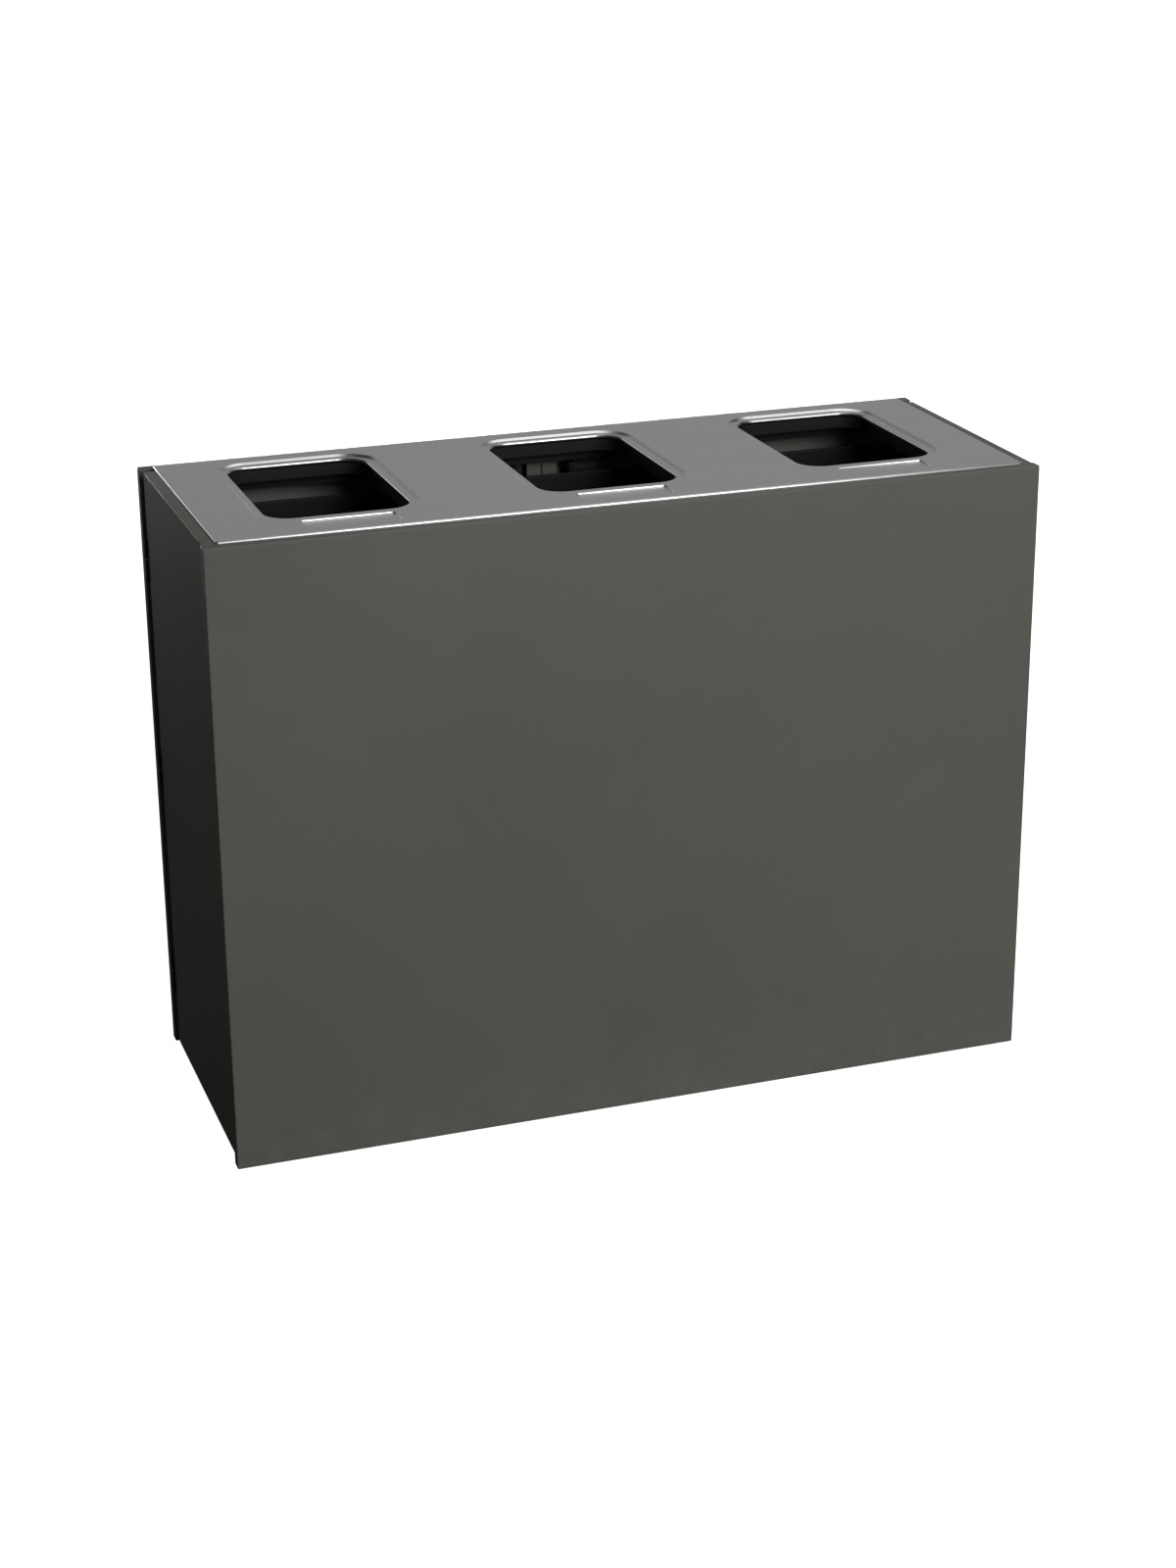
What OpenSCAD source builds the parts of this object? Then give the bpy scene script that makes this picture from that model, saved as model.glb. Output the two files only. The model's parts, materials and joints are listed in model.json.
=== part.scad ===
// Recycling bin station: a sheet steel cabinet with three top openings over three inner bins.
// Origin on the floor under the middle, X to the right, Y back to the service doors, Z up.

/* [Cabinet] */
// Overall width, across the front panel
cabinet_w = 1200; // [1150:1:1440]
// Overall depth, from the front panel to the faces of the door locks
cabinet_d = 450; // [430:1:540]
// Height of the painted top edge above the floor
rim_z = 905; // [755:1:1086]
// Gap between the floor and the front panel
floor_gap = 5; // [3:1:12]
// Depth of the folded edges of the panels and doors
pan_t = 18.5; // [15:0.5:22]
// Distance from the ends of the front panel in to the side walls
side_inset = 3; // [2:1:5]
// Painted sheet thickness
sheet = 1.5; // [1:0.1:2]
// Width of the lips folded back around each panel
lip_w = 22; // [20:1:26]

/* [Top plate] */
// Height of the plate above the painted edge
plate_proud = 3; // [2.6:0.1:5]
// Stainless sheet thickness
plate_sheet = 1.2; // [1:0.1:1.5]
// Painted edge left showing in front of the plate
front_rim = 15; // [12:1:17]
// Distance from the ends of the front panel in to the plate
side_rim = 20; // [18:1:22]
// Distance between the middles of the openings
opening_pitch = 387; // [325:1:400]
// Width of an opening
opening_w = 202; // [160:1:230]
// Length of an opening, front to back
opening_len = 285; // [220:1:290]
// Distance of the openings' middle behind the cabinet's middle
opening_y = 22.5; // [15:0.5:24]
// Corner radius of an opening
opening_r = 35; // [20:1:60]
// Width of the pressed frame around an opening
frame_w = 16; // [14:1:17]
// Depth of the pressed frame
frame_drop = 3; // [2:0.5:4]
// Width of a label recess
label_w = 130; // [90:1:150]
// Length of a label recess, front to back
label_len = 40; // [30:1:42]
// Height of the painted chute under each opening
chute_h = 23; // [18:1:30]

/* [Service doors] */
// Gap between the side walls and the doors, where the hinges sit
hinge_gap = 15; // [15:1:18]
// Gap between the two doors
meeting_gap = 2; // [2:0.5:5]
// Bottom of the doors above the floor
door_bottom_z = 8; // [6:1:14]
// Hinge pin diameter
pin_d = 5; // [4:0.5:6]
// Height of one hinge half
knuckle_h = 30; // [24:1:50]
// Radial clearance of the hinge pins, lock plugs and handle ends
running_gap = 0.05; // [0.02:0.01:0.1]

/* [Inner bins] */
// Distance from the painted top edge down to the bins' rims
bin_drop = 55; // [45:1:120]
// Wall thickness of a bin
bin_wall = 1; // [0.8:0.1:2]
// Corner radius of a bin
bin_r = 30; // [20:1:40]
// Diameter of the handle rod
rod_d = 8; // [6:1:9]
// Drop of a handle from its pivot to its grip
handle_drop = 31; // [25:1:34]
// Half width of a handle's grip
handle_half = 55; // [45:1:70]

/* [Feet] */
// Height of the underside of the tray floor
tray_z = 44; // [42:1:60]
// Diameter of a foot pad
foot_d = 45; // [30:1:50]
// Foot stud diameter
foot_stud_d = 10; // [8:1:12]

/* [Hidden] */
$fn = 48;

PAINT = [0.33, 0.34, 0.31];
STAINLESS = [0.62, 0.62, 0.62];
ZINC = [0.74, 0.75, 0.76];
BRASS = [0.72, 0.6, 0.35];
RUBBER = [0.1, 0.1, 0.1];
BLACK = [0.14, 0.14, 0.14];

// How far the cutting tools run past the material
over = 5;

// Painted cabinet
front_y = -cabinet_d / 2;
front_in_y = front_y + pan_t;
lock_proud = 1.5;
door_out_y = cabinet_d / 2 - lock_proud;
door_in_y = door_out_y - pan_t;
side_rear_y = door_in_y - hinge_gap;
side_out_x = cabinet_w / 2 - side_inset;
side_in_x = side_out_x - pan_t;
side_bottom_z = floor_gap + 9;

// Top plate and chutes
plate_top = rim_z + plate_proud;
plate_under = plate_top - plate_sheet;
plate_w = cabinet_w - 2 * side_rim;
plate_len = cabinet_d - 2 * front_rim;
plate_corner_r = 4;
frame_top_w = opening_w + 2 * frame_w;
frame_top_len = opening_len + 2 * frame_w;
frame_r = opening_r + frame_w;
ledge_z = plate_top - frame_drop;
throat_h = 6;
label_depth = 2;
label_r = 2;
label_y = opening_y - frame_top_len / 2 - 10 - label_len / 2;
chute_gap = 1.5;
chute_flange = 10;
chute_top = ledge_z - plate_sheet;
opening_xs = [-opening_pitch, 0, opening_pitch];

// Rails under the plate, and partitions between the bins
tray_edge_t = 2;
rail_h = 40;
rail_t = 2;
label_gap = 2.5;
front_flange_w = label_y - label_len / 2 - label_gap - front_in_y;
rear_flange_w = 14;
rail_tab_w = 26;
notch_gap = 4;
partition_x = opening_pitch / 2;
partition_flange = 16;
partition_top = rim_z - 10;

// Fasteners
bolt_d = 5;
bolt_head_d = 9;
bolt_head_h = 2.5;
hole_gap = 0.25;
nut_af = 8;
nut_h = 4;
rivet_d = 4;
rivet_head_d = 7;
rivet_head_h = 1.2;
leaf_screw_d = 4;
leaf_screw_head_d = 8;
plate_stud_d = 5;
plate_stud_len = 16;
plate_stud_xs = [-side_in_x + 32, -partition_x - 24, partition_x + 24, side_in_x - 32];
front_stud_y = front_in_y + 8;
rear_stud_y = side_rear_y - 7.5;
panel_bolt_x = side_out_x - pan_t / 2;
panel_bolt_zs = [60, rim_z / 3, rim_z * 2 / 3, rim_z - 60];
tray_bolt_ys = [-110, 0, 110];
tray_bolt_z = side_bottom_z + 11;
rail_bolt_z = rim_z - 14;
rail_bolt_inset = 17;
partition_rivet_z = rim_z - rail_h + 8;
partition_rivet_ys = [-120, 0, 120];

// Doors, hinges and locks
door_free_x = meeting_gap / 2;
door_hinge_x = cabinet_w / 2;
door_top_z = rim_z - 0.5;
barrel_r = 5;
pivot_x = door_hinge_x - barrel_r;
pivot_y = door_in_y - barrel_r - 2;
leaf_t = 3;
leaf_w = 22;
leaf_screw_x = pivot_x - 12;
leaf_screw_zs = [8, knuckle_h - 8];
washer_t = 1;
knuckle_gap = 0.1;
hinge_zs = [100, rim_z / 2 - knuckle_h, rim_z - 100 - 2 * knuckle_h];
upper_knuckle = knuckle_h + washer_t + knuckle_gap;
lock_x = door_free_x + 44;
lock_z = rim_z - 55;
lock_d = 18;
lock_flange_d = 25;
lock_nut_af = 24;
lock_nut_h = 4;
plug_d = 12;
plug_sunk = 0.5;
key_square = 7;
key_depth = 6;
cam_t = 3;
cam_w = 16;
cam_reach = 34;
cam_y = side_rear_y - 6;
cam_screw_len = 12;
buffer_d = 10;
buffer_gap = 0.4;
buffer_xs = [120, 480];
buffer_zs = [tray_z - 20, rim_z - 13];

// Inner bins and their handles
floor_top = tray_z + 2;
bin_top_z = rim_z - bin_drop;
handle_stand = 7;
handle_reach = handle_stand + handle_drop + rod_d / 2;
bay_gap = 4;
bin_w = opening_pitch - 2 * (handle_reach + bay_gap);
bin_len = opening_len + 62;
bin_y = opening_y - 24;
bin_rim_h = 6;
bin_rim_out = 4;
handle_z = bin_top_z - 60;
bend_r = 9;
rod_end = 14;
ear_t = 4;
ear_r = 6;
ear_y = handle_half + bend_r + 3;
bracket_t = 2;
bracket_h = 24;
bracket_len = 20;
guide_t = 2;
guide_h = 25;
guide_foot = 15;
guide_half = 120;

// Feet
foot_x = side_in_x - 33;
foot_y = side_rear_y - 25;
pad_h = 10;
pad_socket = 6;
foot_nut_af = 17;
foot_nut_h = 8;

// Rounded rectangle centred on the origin
module round_rect(w, len, r) {
    square([w - 2 * r, len], center = true);
    square([w, len - 2 * r], center = true);
    for (sx = [-1, 1])
        for (sy = [-1, 1])
            translate([sx * (w / 2 - r), sy * (len / 2 - r)])
                circle(r);
}

// Band of width t inside a rounded rectangle
module round_band(w, len, r, t) {
    difference() {
        round_rect(w, len, r);
        round_rect(w - 2 * t, len - 2 * t, r - t);
    }
}

// Upright prism of a flat shape between two heights
module rise(z0, z1) {
    translate([0, 0, z0])
        linear_extrude(z1 - z0)
            children();
}

// Box between its lowest and its highest corner
module span(a, b) {
    translate(a)
        cube(b - a);
}

// Rods, or holes, that start at p and run along +X, +Y or +Z
module rod_x(p, d, len) {
    translate(p)
        rotate([0, 90, 0])
            cylinder(d = d, h = len);
}

module rod_y(p, d, len) {
    translate(p)
        rotate([-90, 0, 0])
            cylinder(d = d, h = len);
}

module rod_z(p, d, len) {
    translate(p)
        cylinder(d = d, h = len);
}

// Hexagonal nut that stands on z = 0
module nut(af, h, d) {
    difference() {
        cylinder(d = af / cos(30), h = h, $fn = 6);
        translate([0, 0, -over])
            cylinder(d = d, h = h + 2 * over);
    }
}

// Screw along +Z with the underside of its head at z = 0
module screw(d, len, head_d, head_h) {
    cylinder(d = d, h = len);
    translate([0, 0, -head_h])
        cylinder(d = head_d, h = head_h);
}

// Rivet along +Z through a pack of sheets between z = 0 and z = grip
module rivet(grip) {
    translate([0, 0, -rivet_head_h])
        cylinder(d = rivet_head_d, h = rivet_head_h);
    cylinder(d = rivet_d, h = grip);
    translate([0, 0, grip])
        cylinder(d = rivet_head_d - 1, h = rivet_head_h);
}

// The right-hand half as it is drawn, or the left-hand half as its mirror image
module handed(side) {
    mirror([side < 0 ? 1 : 0, 0, 0])
        children();
}

module both_sides() {
    for (side = [-1, 1])
        handed(side)
            children();
}

// Folded panel in the XZ plane: skin at y = 0, edges folded to y = t, lips around the open back
module pan(w, h, t) {
    difference() {
        cube([w, t, h]);
        span([sheet, sheet, sheet], [w - sheet, t - sheet, h - sheet]);
        span([lip_w, t / 2, lip_w], [w - lip_w, t + over, h - lip_w]);
    }
}

// Channel along +Z, its web at y = 0 and its two legs to y = depth
module channel(w, depth, len) {
    difference() {
        cube([w, depth, len]);
        span([sheet, sheet, -over], [w - sheet, depth + over, len + over]);
    }
}

// Painted cabinet

module front_panel() {
    color(PAINT)
        difference() {
            translate([-cabinet_w / 2, front_y, floor_gap])
                pan(cabinet_w, rim_z - floor_gap, pan_t);
            both_sides()
                for (z = panel_bolt_zs)
                    rod_y([panel_bolt_x, front_in_y - over, z], bolt_d + 2 * hole_gap, 2 * over);
        }
}

module front_stiffeners() {
    stiffener_w = 50;
    end_gap = 6;
    color(PAINT)
        for (x = [-cabinet_w / 4, 0, cabinet_w / 4])
            translate([x - stiffener_w / 2, front_y + sheet, floor_gap + lip_w + end_gap])
                channel(stiffener_w, pan_t - 2 * sheet, rim_z - floor_gap - 2 * (lip_w + end_gap));
}

// Right-hand side wall; the left one is its mirror image
module side_wall() {
    difference() {
        translate([side_out_x, front_in_y, side_bottom_z])
            rotate([0, 0, 90])
                pan(side_rear_y - front_in_y, rim_z - side_bottom_z, pan_t);
        for (z = panel_bolt_zs)
            rod_y([panel_bolt_x, front_in_y - over, z], bolt_d + 2 * hole_gap, 2 * over);
        for (y = tray_bolt_ys)
            rod_x([side_in_x - over, y, tray_bolt_z], bolt_d + 2 * hole_gap, 2 * over);
        for (y = [front_in_y + rail_bolt_inset, side_rear_y - rail_bolt_inset])
            rod_x([side_in_x - over, y, rail_bolt_z], bolt_d + 2 * hole_gap, 2 * over);
        for (z = hinge_zs)
            for (dz = leaf_screw_zs)
                rod_y([leaf_screw_x, side_rear_y - over, z + dz], leaf_screw_d + 2 * hole_gap, 2 * over);
    }
}

module left_side_wall() {
    color(PAINT)
        handed(-1)
            side_wall();
}

module right_side_wall() {
    color(PAINT)
        side_wall();
}

// Floor sheet of the tray
module base_tray() {
    color(PAINT)
        difference() {
            span([-side_in_x, front_in_y, tray_z], [side_in_x, side_rear_y, floor_top]);
            both_sides() {
                for (y = [-foot_y, foot_y])
                    rod_z([foot_x, y, tray_z - over], foot_stud_d + 2 * hole_gap, 3 * over);
                for (y = partition_rivet_ys)
                    rod_z([partition_x - partition_flange / 2, y, tray_z - over], rivet_d, 3 * over);
            }
        }
}

// Front and rear edges of the tray, turned down from its floor
module tray_edges() {
    color(PAINT)
        for (y = [front_in_y, side_rear_y - tray_edge_t])
            span([-side_in_x, y, side_bottom_z], [side_in_x, y + tray_edge_t, tray_z]);
}

// Ends of the tray, turned down from its floor and bolted to the side walls
module tray_ends() {
    color(PAINT)
        both_sides()
            difference() {
                span([side_in_x - tray_edge_t, front_in_y + tray_edge_t, side_bottom_z],
                     [side_in_x, side_rear_y - tray_edge_t, tray_z]);
                for (y = tray_bolt_ys)
                    rod_x([side_in_x - over, y, tray_bolt_z], bolt_d + 2 * hole_gap, 2 * over);
            }
}

// Web of a top rail, with its outer face at y = 0
module rail_web() {
    difference() {
        span([-side_in_x + rail_t, 0, rim_z - rail_h], [side_in_x - rail_t, rail_t, rim_z - rail_t]);
        both_sides()
            rod_y([partition_x - partition_flange / 2, -over, partition_rivet_z], rivet_d, 2 * over);
    }
}

// Top flange of a rail, towards +Y
module rail_flange(flange_w, stud_y) {
    difference() {
        span([-side_in_x + rail_t, 0, rim_z - rail_t], [side_in_x - rail_t, flange_w, rim_z]);
        for (x = plate_stud_xs)
            rod_z([x, stud_y, rim_z - over], plate_stud_d + 2 * hole_gap, 2 * over);
    }
}

// Tab at each end of a rail, bolted to the side wall
module rail_end_tabs() {
    both_sides()
        difference() {
            span([side_in_x - rail_t, 0, rim_z - rail_h], [side_in_x, rail_tab_w, rim_z]);
            rod_x([side_in_x - over, rail_bolt_inset, rail_bolt_z], bolt_d + 2 * hole_gap, 2 * over);
        }
}

// Places a rail's piece, drawn towards +Y, on the front panel or on the rear edges of the side walls
module at_front_rail() {
    translate([0, front_in_y, 0])
        children();
}

module at_rear_rail() {
    translate([0, side_rear_y, 0])
        mirror([0, 1, 0])
            children();
}

module front_rail() {
    color(BLACK)
        at_front_rail()
            rail_web();
}

module rear_rail() {
    color(BLACK)
        at_rear_rail()
            rail_web();
}

// The rear flange is notched where the pressed frames come down
module rail_flanges() {
    notch_y = opening_y + frame_top_len / 2 + notch_gap - 1;
    color(BLACK) {
        at_front_rail()
            rail_flange(front_flange_w, front_stud_y - front_in_y);
        difference() {
            at_rear_rail()
                rail_flange(rear_flange_w, side_rear_y - rear_stud_y);
            for (x = opening_xs)
                span([x - frame_top_w / 2 - notch_gap, 0, rim_z - rail_t - over],
                     [x + frame_top_w / 2 + notch_gap, notch_y, rim_z + over]);
        }
    }
}

module rail_tabs() {
    color(BLACK) {
        at_front_rail()
            rail_end_tabs();
        at_rear_rail()
            rail_end_tabs();
    }
}

// Right-hand partition: a sheet with flanges turned towards the middle
module partition() {
    y0 = front_in_y + rail_t;
    y1 = side_rear_y - rail_t;
    flange_x = partition_x - partition_flange;
    difference() {
        union() {
            span([partition_x - sheet, y0, floor_top], [partition_x, y1, partition_top]);
            span([flange_x, y0, floor_top], [partition_x, y0 + sheet, partition_top]);
            span([flange_x, y1 - sheet, floor_top], [partition_x, y1, partition_top]);
            span([flange_x, y0, floor_top], [partition_x, y1, floor_top + sheet]);
        }
        rod_y([partition_x - partition_flange / 2, y0 - over, partition_rivet_z], rivet_d, 2 * over);
        rod_y([partition_x - partition_flange / 2, y1 - over, partition_rivet_z], rivet_d, 2 * over);
        for (y = partition_rivet_ys)
            rod_z([partition_x - partition_flange / 2, y, floor_top - over], rivet_d, 2 * over);
    }
}

module left_partition() {
    color(BLACK)
        handed(-1)
            partition();
}

module right_partition() {
    color(BLACK)
        partition();
}

// Two rivets into the rails and three into the tray for each partition
module partition_rivets() {
    x = partition_x - partition_flange / 2;
    color(BLACK)
        both_sides() {
            translate([x, front_in_y + rail_t + sheet, partition_rivet_z])
                rotate([90, 0, 0])
                    rivet(rail_t + sheet);
            translate([x, side_rear_y - rail_t - sheet, partition_rivet_z])
                rotate([-90, 0, 0])
                    rivet(rail_t + sheet);
            for (y = partition_rivet_ys)
                translate([x, y, tray_z])
                    rivet(floor_top - tray_z + sheet);
        }
}

// Top plate: one pressed stainless sheet with a folded edge, three framed openings and label recesses

module frame_outline() {
    round_rect(frame_top_w, frame_top_len, frame_r);
}

module label_outline() {
    round_rect(label_w, label_len, label_r);
}

module top_plate() {
    color(STAINLESS) {
        difference() {
            rise(plate_under, plate_top)
                round_rect(plate_w, plate_len, plate_corner_r);
            for (x = opening_xs) {
                translate([x, opening_y])
                    rise(plate_under - over, plate_top + over)
                        frame_outline();
                translate([x, label_y])
                    rise(plate_under - over, plate_top + over)
                        label_outline();
            }
        }
        rise(rim_z, plate_top)
            round_band(plate_w, plate_len, plate_corner_r, plate_sheet);
        for (x = opening_xs) {
            translate([x, opening_y])
                pressed_frame();
            translate([x, label_y])
                label_recess();
        }
    }
}

// Wall down from the plate, ledge, and the short throat around the opening
module pressed_frame() {
    rise(chute_top, plate_top)
        round_band(frame_top_w, frame_top_len, frame_r, plate_sheet);
    difference() {
        rise(chute_top, ledge_z)
            frame_outline();
        rise(chute_top - over, ledge_z + over)
            round_rect(opening_w, opening_len, opening_r);
    }
    rise(ledge_z - throat_h, ledge_z)
        round_band(opening_w + 2 * plate_sheet, opening_len + 2 * plate_sheet,
                   opening_r + plate_sheet, plate_sheet);
}

module label_recess() {
    recess_z = plate_top - label_depth;
    rise(recess_z - plate_sheet, recess_z)
        label_outline();
    rise(recess_z - plate_sheet, plate_top)
        round_band(label_w, label_len, label_r, plate_sheet);
}

// Chute that hangs under an opening from its top flange, with a hem around its lower edge
module chute(x) {
    inner_w = opening_w + 2 * chute_gap;
    inner_len = opening_len + 2 * chute_gap;
    inner_r = opening_r + chute_gap;
    hem_h = 4;
    color(BLACK)
        translate([x, opening_y, 0])
            difference() {
                union() {
                    rise(chute_top - chute_h, chute_top)
                        round_rect(inner_w + 2 * sheet, inner_len + 2 * sheet, inner_r + sheet);
                    rise(chute_top - chute_h, chute_top - chute_h + hem_h)
                        round_rect(inner_w + 4 * sheet, inner_len + 4 * sheet, inner_r + 2 * sheet);
                    rise(chute_top - sheet, chute_top)
                        round_rect(inner_w + 2 * chute_flange, inner_len + 2 * chute_flange,
                                   inner_r + chute_flange);
                }
                rise(chute_top - chute_h - over, chute_top + over)
                    round_rect(inner_w, inner_len, inner_r);
            }
}

module left_chute() {
    chute(opening_xs[0]);
}

module middle_chute() {
    chute(opening_xs[1]);
}

module right_chute() {
    chute(opening_xs[2]);
}

// Every place where a stud of the plate passes through a rail
module at_plate_studs() {
    for (x = plate_stud_xs)
        for (y = [front_stud_y, rear_stud_y])
            translate([x, y, 0])
                children();
}

module plate_studs() {
    color(STAINLESS)
        at_plate_studs()
            rod_z([0, 0, plate_under - plate_stud_len], plate_stud_d, plate_stud_len);
}

// Rubber pads that fill the space between the rails and the plate
module plate_pads() {
    pad_d = 13;
    color(RUBBER)
        at_plate_studs()
            difference() {
                rod_z([0, 0, rim_z], pad_d, plate_under - rim_z);
                rod_z([0, 0, rim_z - over], plate_stud_d + 2 * hole_gap, plate_under - rim_z + 2 * over);
            }
}

module plate_nuts() {
    color(ZINC)
        at_plate_studs()
            translate([0, 0, rim_z - rail_t - nut_h])
                nut(nut_af, nut_h, plate_stud_d);
}

// Bolts that hold the side walls to the front panel, with their heads inside the side walls
module panel_bolts() {
    bolt_len = 14;
    color(ZINC)
        both_sides()
            for (z = panel_bolt_zs)
                translate([panel_bolt_x, front_in_y + sheet, z])
                    rotate([90, 0, 0])
                        screw(bolt_d, bolt_len, bolt_head_d, bolt_head_h);
}

module panel_nuts() {
    color(ZINC)
        both_sides()
            for (z = panel_bolt_zs)
                translate([panel_bolt_x, front_in_y - sheet, z])
                    rotate([90, 0, 0])
                        nut(nut_af, nut_h, bolt_d);
}

// Every place where the tray and the rails are bolted to the right-hand side wall
module at_side_bolts() {
    for (y = tray_bolt_ys)
        translate([side_in_x, y, tray_bolt_z])
            children();
    for (y = [front_in_y + rail_bolt_inset, side_rear_y - rail_bolt_inset])
        translate([side_in_x, y, rail_bolt_z])
            children();
}

module side_bolts() {
    bolt_len = 10;
    color(ZINC)
        both_sides()
            at_side_bolts()
                translate([-rail_t, 0, 0])
                    rotate([0, 90, 0])
                        screw(bolt_d, bolt_len, bolt_head_d, bolt_head_h);
}

module side_nuts() {
    color(ZINC)
        both_sides()
            at_side_bolts()
                translate([sheet, 0, 0])
                    rotate([0, 90, 0])
                        nut(nut_af, nut_h, bolt_d);
}

// Feet

module at_feet() {
    for (x = [-foot_x, foot_x])
        for (y = [-foot_y, foot_y])
            translate([x, y, 0])
                children();
}

module foot_pads() {
    shoulder_h = 4;
    color(RUBBER)
        at_feet()
            difference() {
                union() {
                    cylinder(d = foot_d, h = shoulder_h);
                    translate([0, 0, shoulder_h])
                        cylinder(d1 = foot_d, d2 = foot_d / 2, h = pad_h - shoulder_h);
                }
                translate([0, 0, pad_h - pad_socket])
                    cylinder(d = foot_stud_d, h = pad_socket + over);
            }
}

module foot_studs() {
    color(ZINC)
        at_feet()
            rod_z([0, 0, pad_h - pad_socket], foot_stud_d, floor_top + foot_nut_h + 6 - pad_h + pad_socket);
}

// One nut under and one above the tray floor on each stud
module foot_nuts() {
    color(ZINC)
        at_feet()
            for (z = [tray_z - foot_nut_h, floor_top])
                translate([0, 0, z])
                    nut(foot_nut_af, foot_nut_h, foot_stud_d);
}

// Inner bins

module bin(x) {
    color(BLACK)
        translate([x, bin_y, 0])
            difference() {
                union() {
                    rise(floor_top, bin_top_z)
                        round_rect(bin_w, bin_len, bin_r);
                    rise(bin_top_z - bin_rim_h, bin_top_z)
                        round_rect(bin_w + 2 * bin_rim_out, bin_len + 2 * bin_rim_out,
                                   bin_r + bin_rim_out);
                }
                rise(floor_top + bin_wall, bin_top_z + over)
                    round_rect(bin_w - 2 * bin_wall, bin_len - 2 * bin_wall, bin_r - bin_wall);
                both_sides()
                    at_bracket_rivets()
                        rod_x([-over, 0, 0], rivet_d, 2 * over);
            }
}

module left_bin() {
    bin(opening_xs[0]);
}

module middle_bin() {
    bin(opening_xs[1]);
}

module right_bin() {
    bin(opening_xs[2]);
}

// Angle strips on the tray floor that keep each bin in its bay
module bin_guides() {
    guide_gap = 1;
    color(ZINC)
        for (x = opening_xs)
            translate([x, 0, floor_top])
                both_sides()
                    translate([bin_w / 2 + guide_gap, -guide_half, 0]) {
                        cube([guide_t, 2 * guide_half, guide_h]);
                        cube([guide_foot, 2 * guide_half, guide_t]);
                    }
}

// Rivet places on the right-hand wall of a bin, with z along the bin's height
module at_bracket_rivets() {
    for (sy = [-1, 1])
        for (dz = [-8, 8])
            translate([bin_w / 2, sy * (ear_y + ear_t + 9), handle_z + dz])
                children();
}

// Two brackets on the right-hand wall of a bin, each with an ear that holds a handle's end
module wall_brackets() {
    pivot = bin_w / 2 + handle_stand;
    difference() {
        for (side = [0, 1])
            mirror([0, side, 0]) {
                span([bin_w / 2, ear_y, handle_z - bracket_h / 2],
                     [bin_w / 2 + bracket_t, ear_y + bracket_len, handle_z + bracket_h / 2]);
                span([bin_w / 2, ear_y, handle_z - ear_r], [pivot, ear_y + ear_t, handle_z + ear_r]);
                rod_y([pivot, ear_y, handle_z], 2 * ear_r, ear_t);
            }
        rod_y([pivot, -2 * ear_y, handle_z], rod_d + 2 * running_gap, 4 * ear_y);
        at_bracket_rivets()
            rod_x([-over, 0, 0], rivet_d, 2 * over);
    }
}

module handle_brackets() {
    color(BLACK)
        for (x = opening_xs)
            translate([x, bin_y, 0])
                both_sides()
                    wall_brackets();
}

module bracket_rivets() {
    color(BLACK)
        for (x = opening_xs)
            translate([x, bin_y, 0])
                both_sides()
                    at_bracket_rivets()
                        translate([-bin_wall, 0, 0])
                            rotate([0, 90, 0])
                                rivet(bin_wall + bracket_t);
}

// Quarter bend of the handle rod in the YZ plane, from +Y round to +Z
module bend() {
    rotate([90, 0, 90])
        rotate_extrude(angle = 90)
            translate([bend_r, 0])
                circle(d = rod_d);
}

// Drop handle on the wall of a bin at x, hanging from its two ends
module handle(x, side) {
    color(BLACK)
        translate([x + side * (bin_w / 2 + handle_stand), bin_y, handle_z]) {
            rod_y([0, bend_r - handle_half, -handle_drop], rod_d, 2 * (handle_half - bend_r));
            for (half = [0, 1])
                mirror([0, half, 0]) {
                    translate([0, handle_half - bend_r, bend_r - handle_drop])
                        rotate([-90, 0, 0])
                            bend();
                    rod_z([0, handle_half, bend_r - handle_drop], rod_d, handle_drop - 2 * bend_r);
                    translate([0, handle_half + bend_r, -bend_r])
                        rotate([90, 0, 0])
                            bend();
                    rod_y([0, handle_half + bend_r, 0], rod_d, rod_end);
                }
        }
}

module left_bin_outer_handle() {
    handle(opening_xs[0], -1);
}

module left_bin_inner_handle() {
    handle(opening_xs[0], 1);
}

module middle_bin_left_handle() {
    handle(opening_xs[1], -1);
}

module middle_bin_right_handle() {
    handle(opening_xs[1], 1);
}

module right_bin_inner_handle() {
    handle(opening_xs[2], -1);
}

module right_bin_outer_handle() {
    handle(opening_xs[2], 1);
}

// Hinges: the half below stays on the side wall, the half above turns with the door

// Half hinge with its leaf lying on the plane y = face_y, on the right-hand side
module hinge_half(face_y, z) {
    inward = face_y < pivot_y ? 1 : 0;
    neck_half = 3;
    difference() {
        union() {
            rod_z([pivot_x, pivot_y, z], 2 * barrel_r, knuckle_h);
            translate([0, face_y, 0])
                mirror([0, 1 - inward, 0]) {
                    span([pivot_x - leaf_w, 0, z], [pivot_x + neck_half, leaf_t, z + knuckle_h]);
                    span([pivot_x - neck_half, 0, z],
                         [pivot_x + neck_half, abs(pivot_y - face_y), z + knuckle_h]);
                }
        }
        rod_z([pivot_x, pivot_y, z - over], pin_d + 2 * running_gap, knuckle_h + 2 * over);
        for (dz = leaf_screw_zs)
            rod_y([leaf_screw_x, face_y - over, z + dz], leaf_screw_d + 2 * hole_gap, 2 * over);
    }
}

module hinge_frame_halves() {
    color(BLACK)
        both_sides()
            for (z = hinge_zs)
                hinge_half(side_rear_y, z);
}

module door_hinge_halves(side) {
    color(BLACK)
        handed(side)
            for (z = hinge_zs)
                hinge_half(door_in_y, z + upper_knuckle);
}

module hinge_pins() {
    color(STAINLESS)
        both_sides()
            for (z = hinge_zs)
                rod_z([pivot_x, pivot_y, z], pin_d, upper_knuckle + knuckle_h - 1);
}

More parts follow.
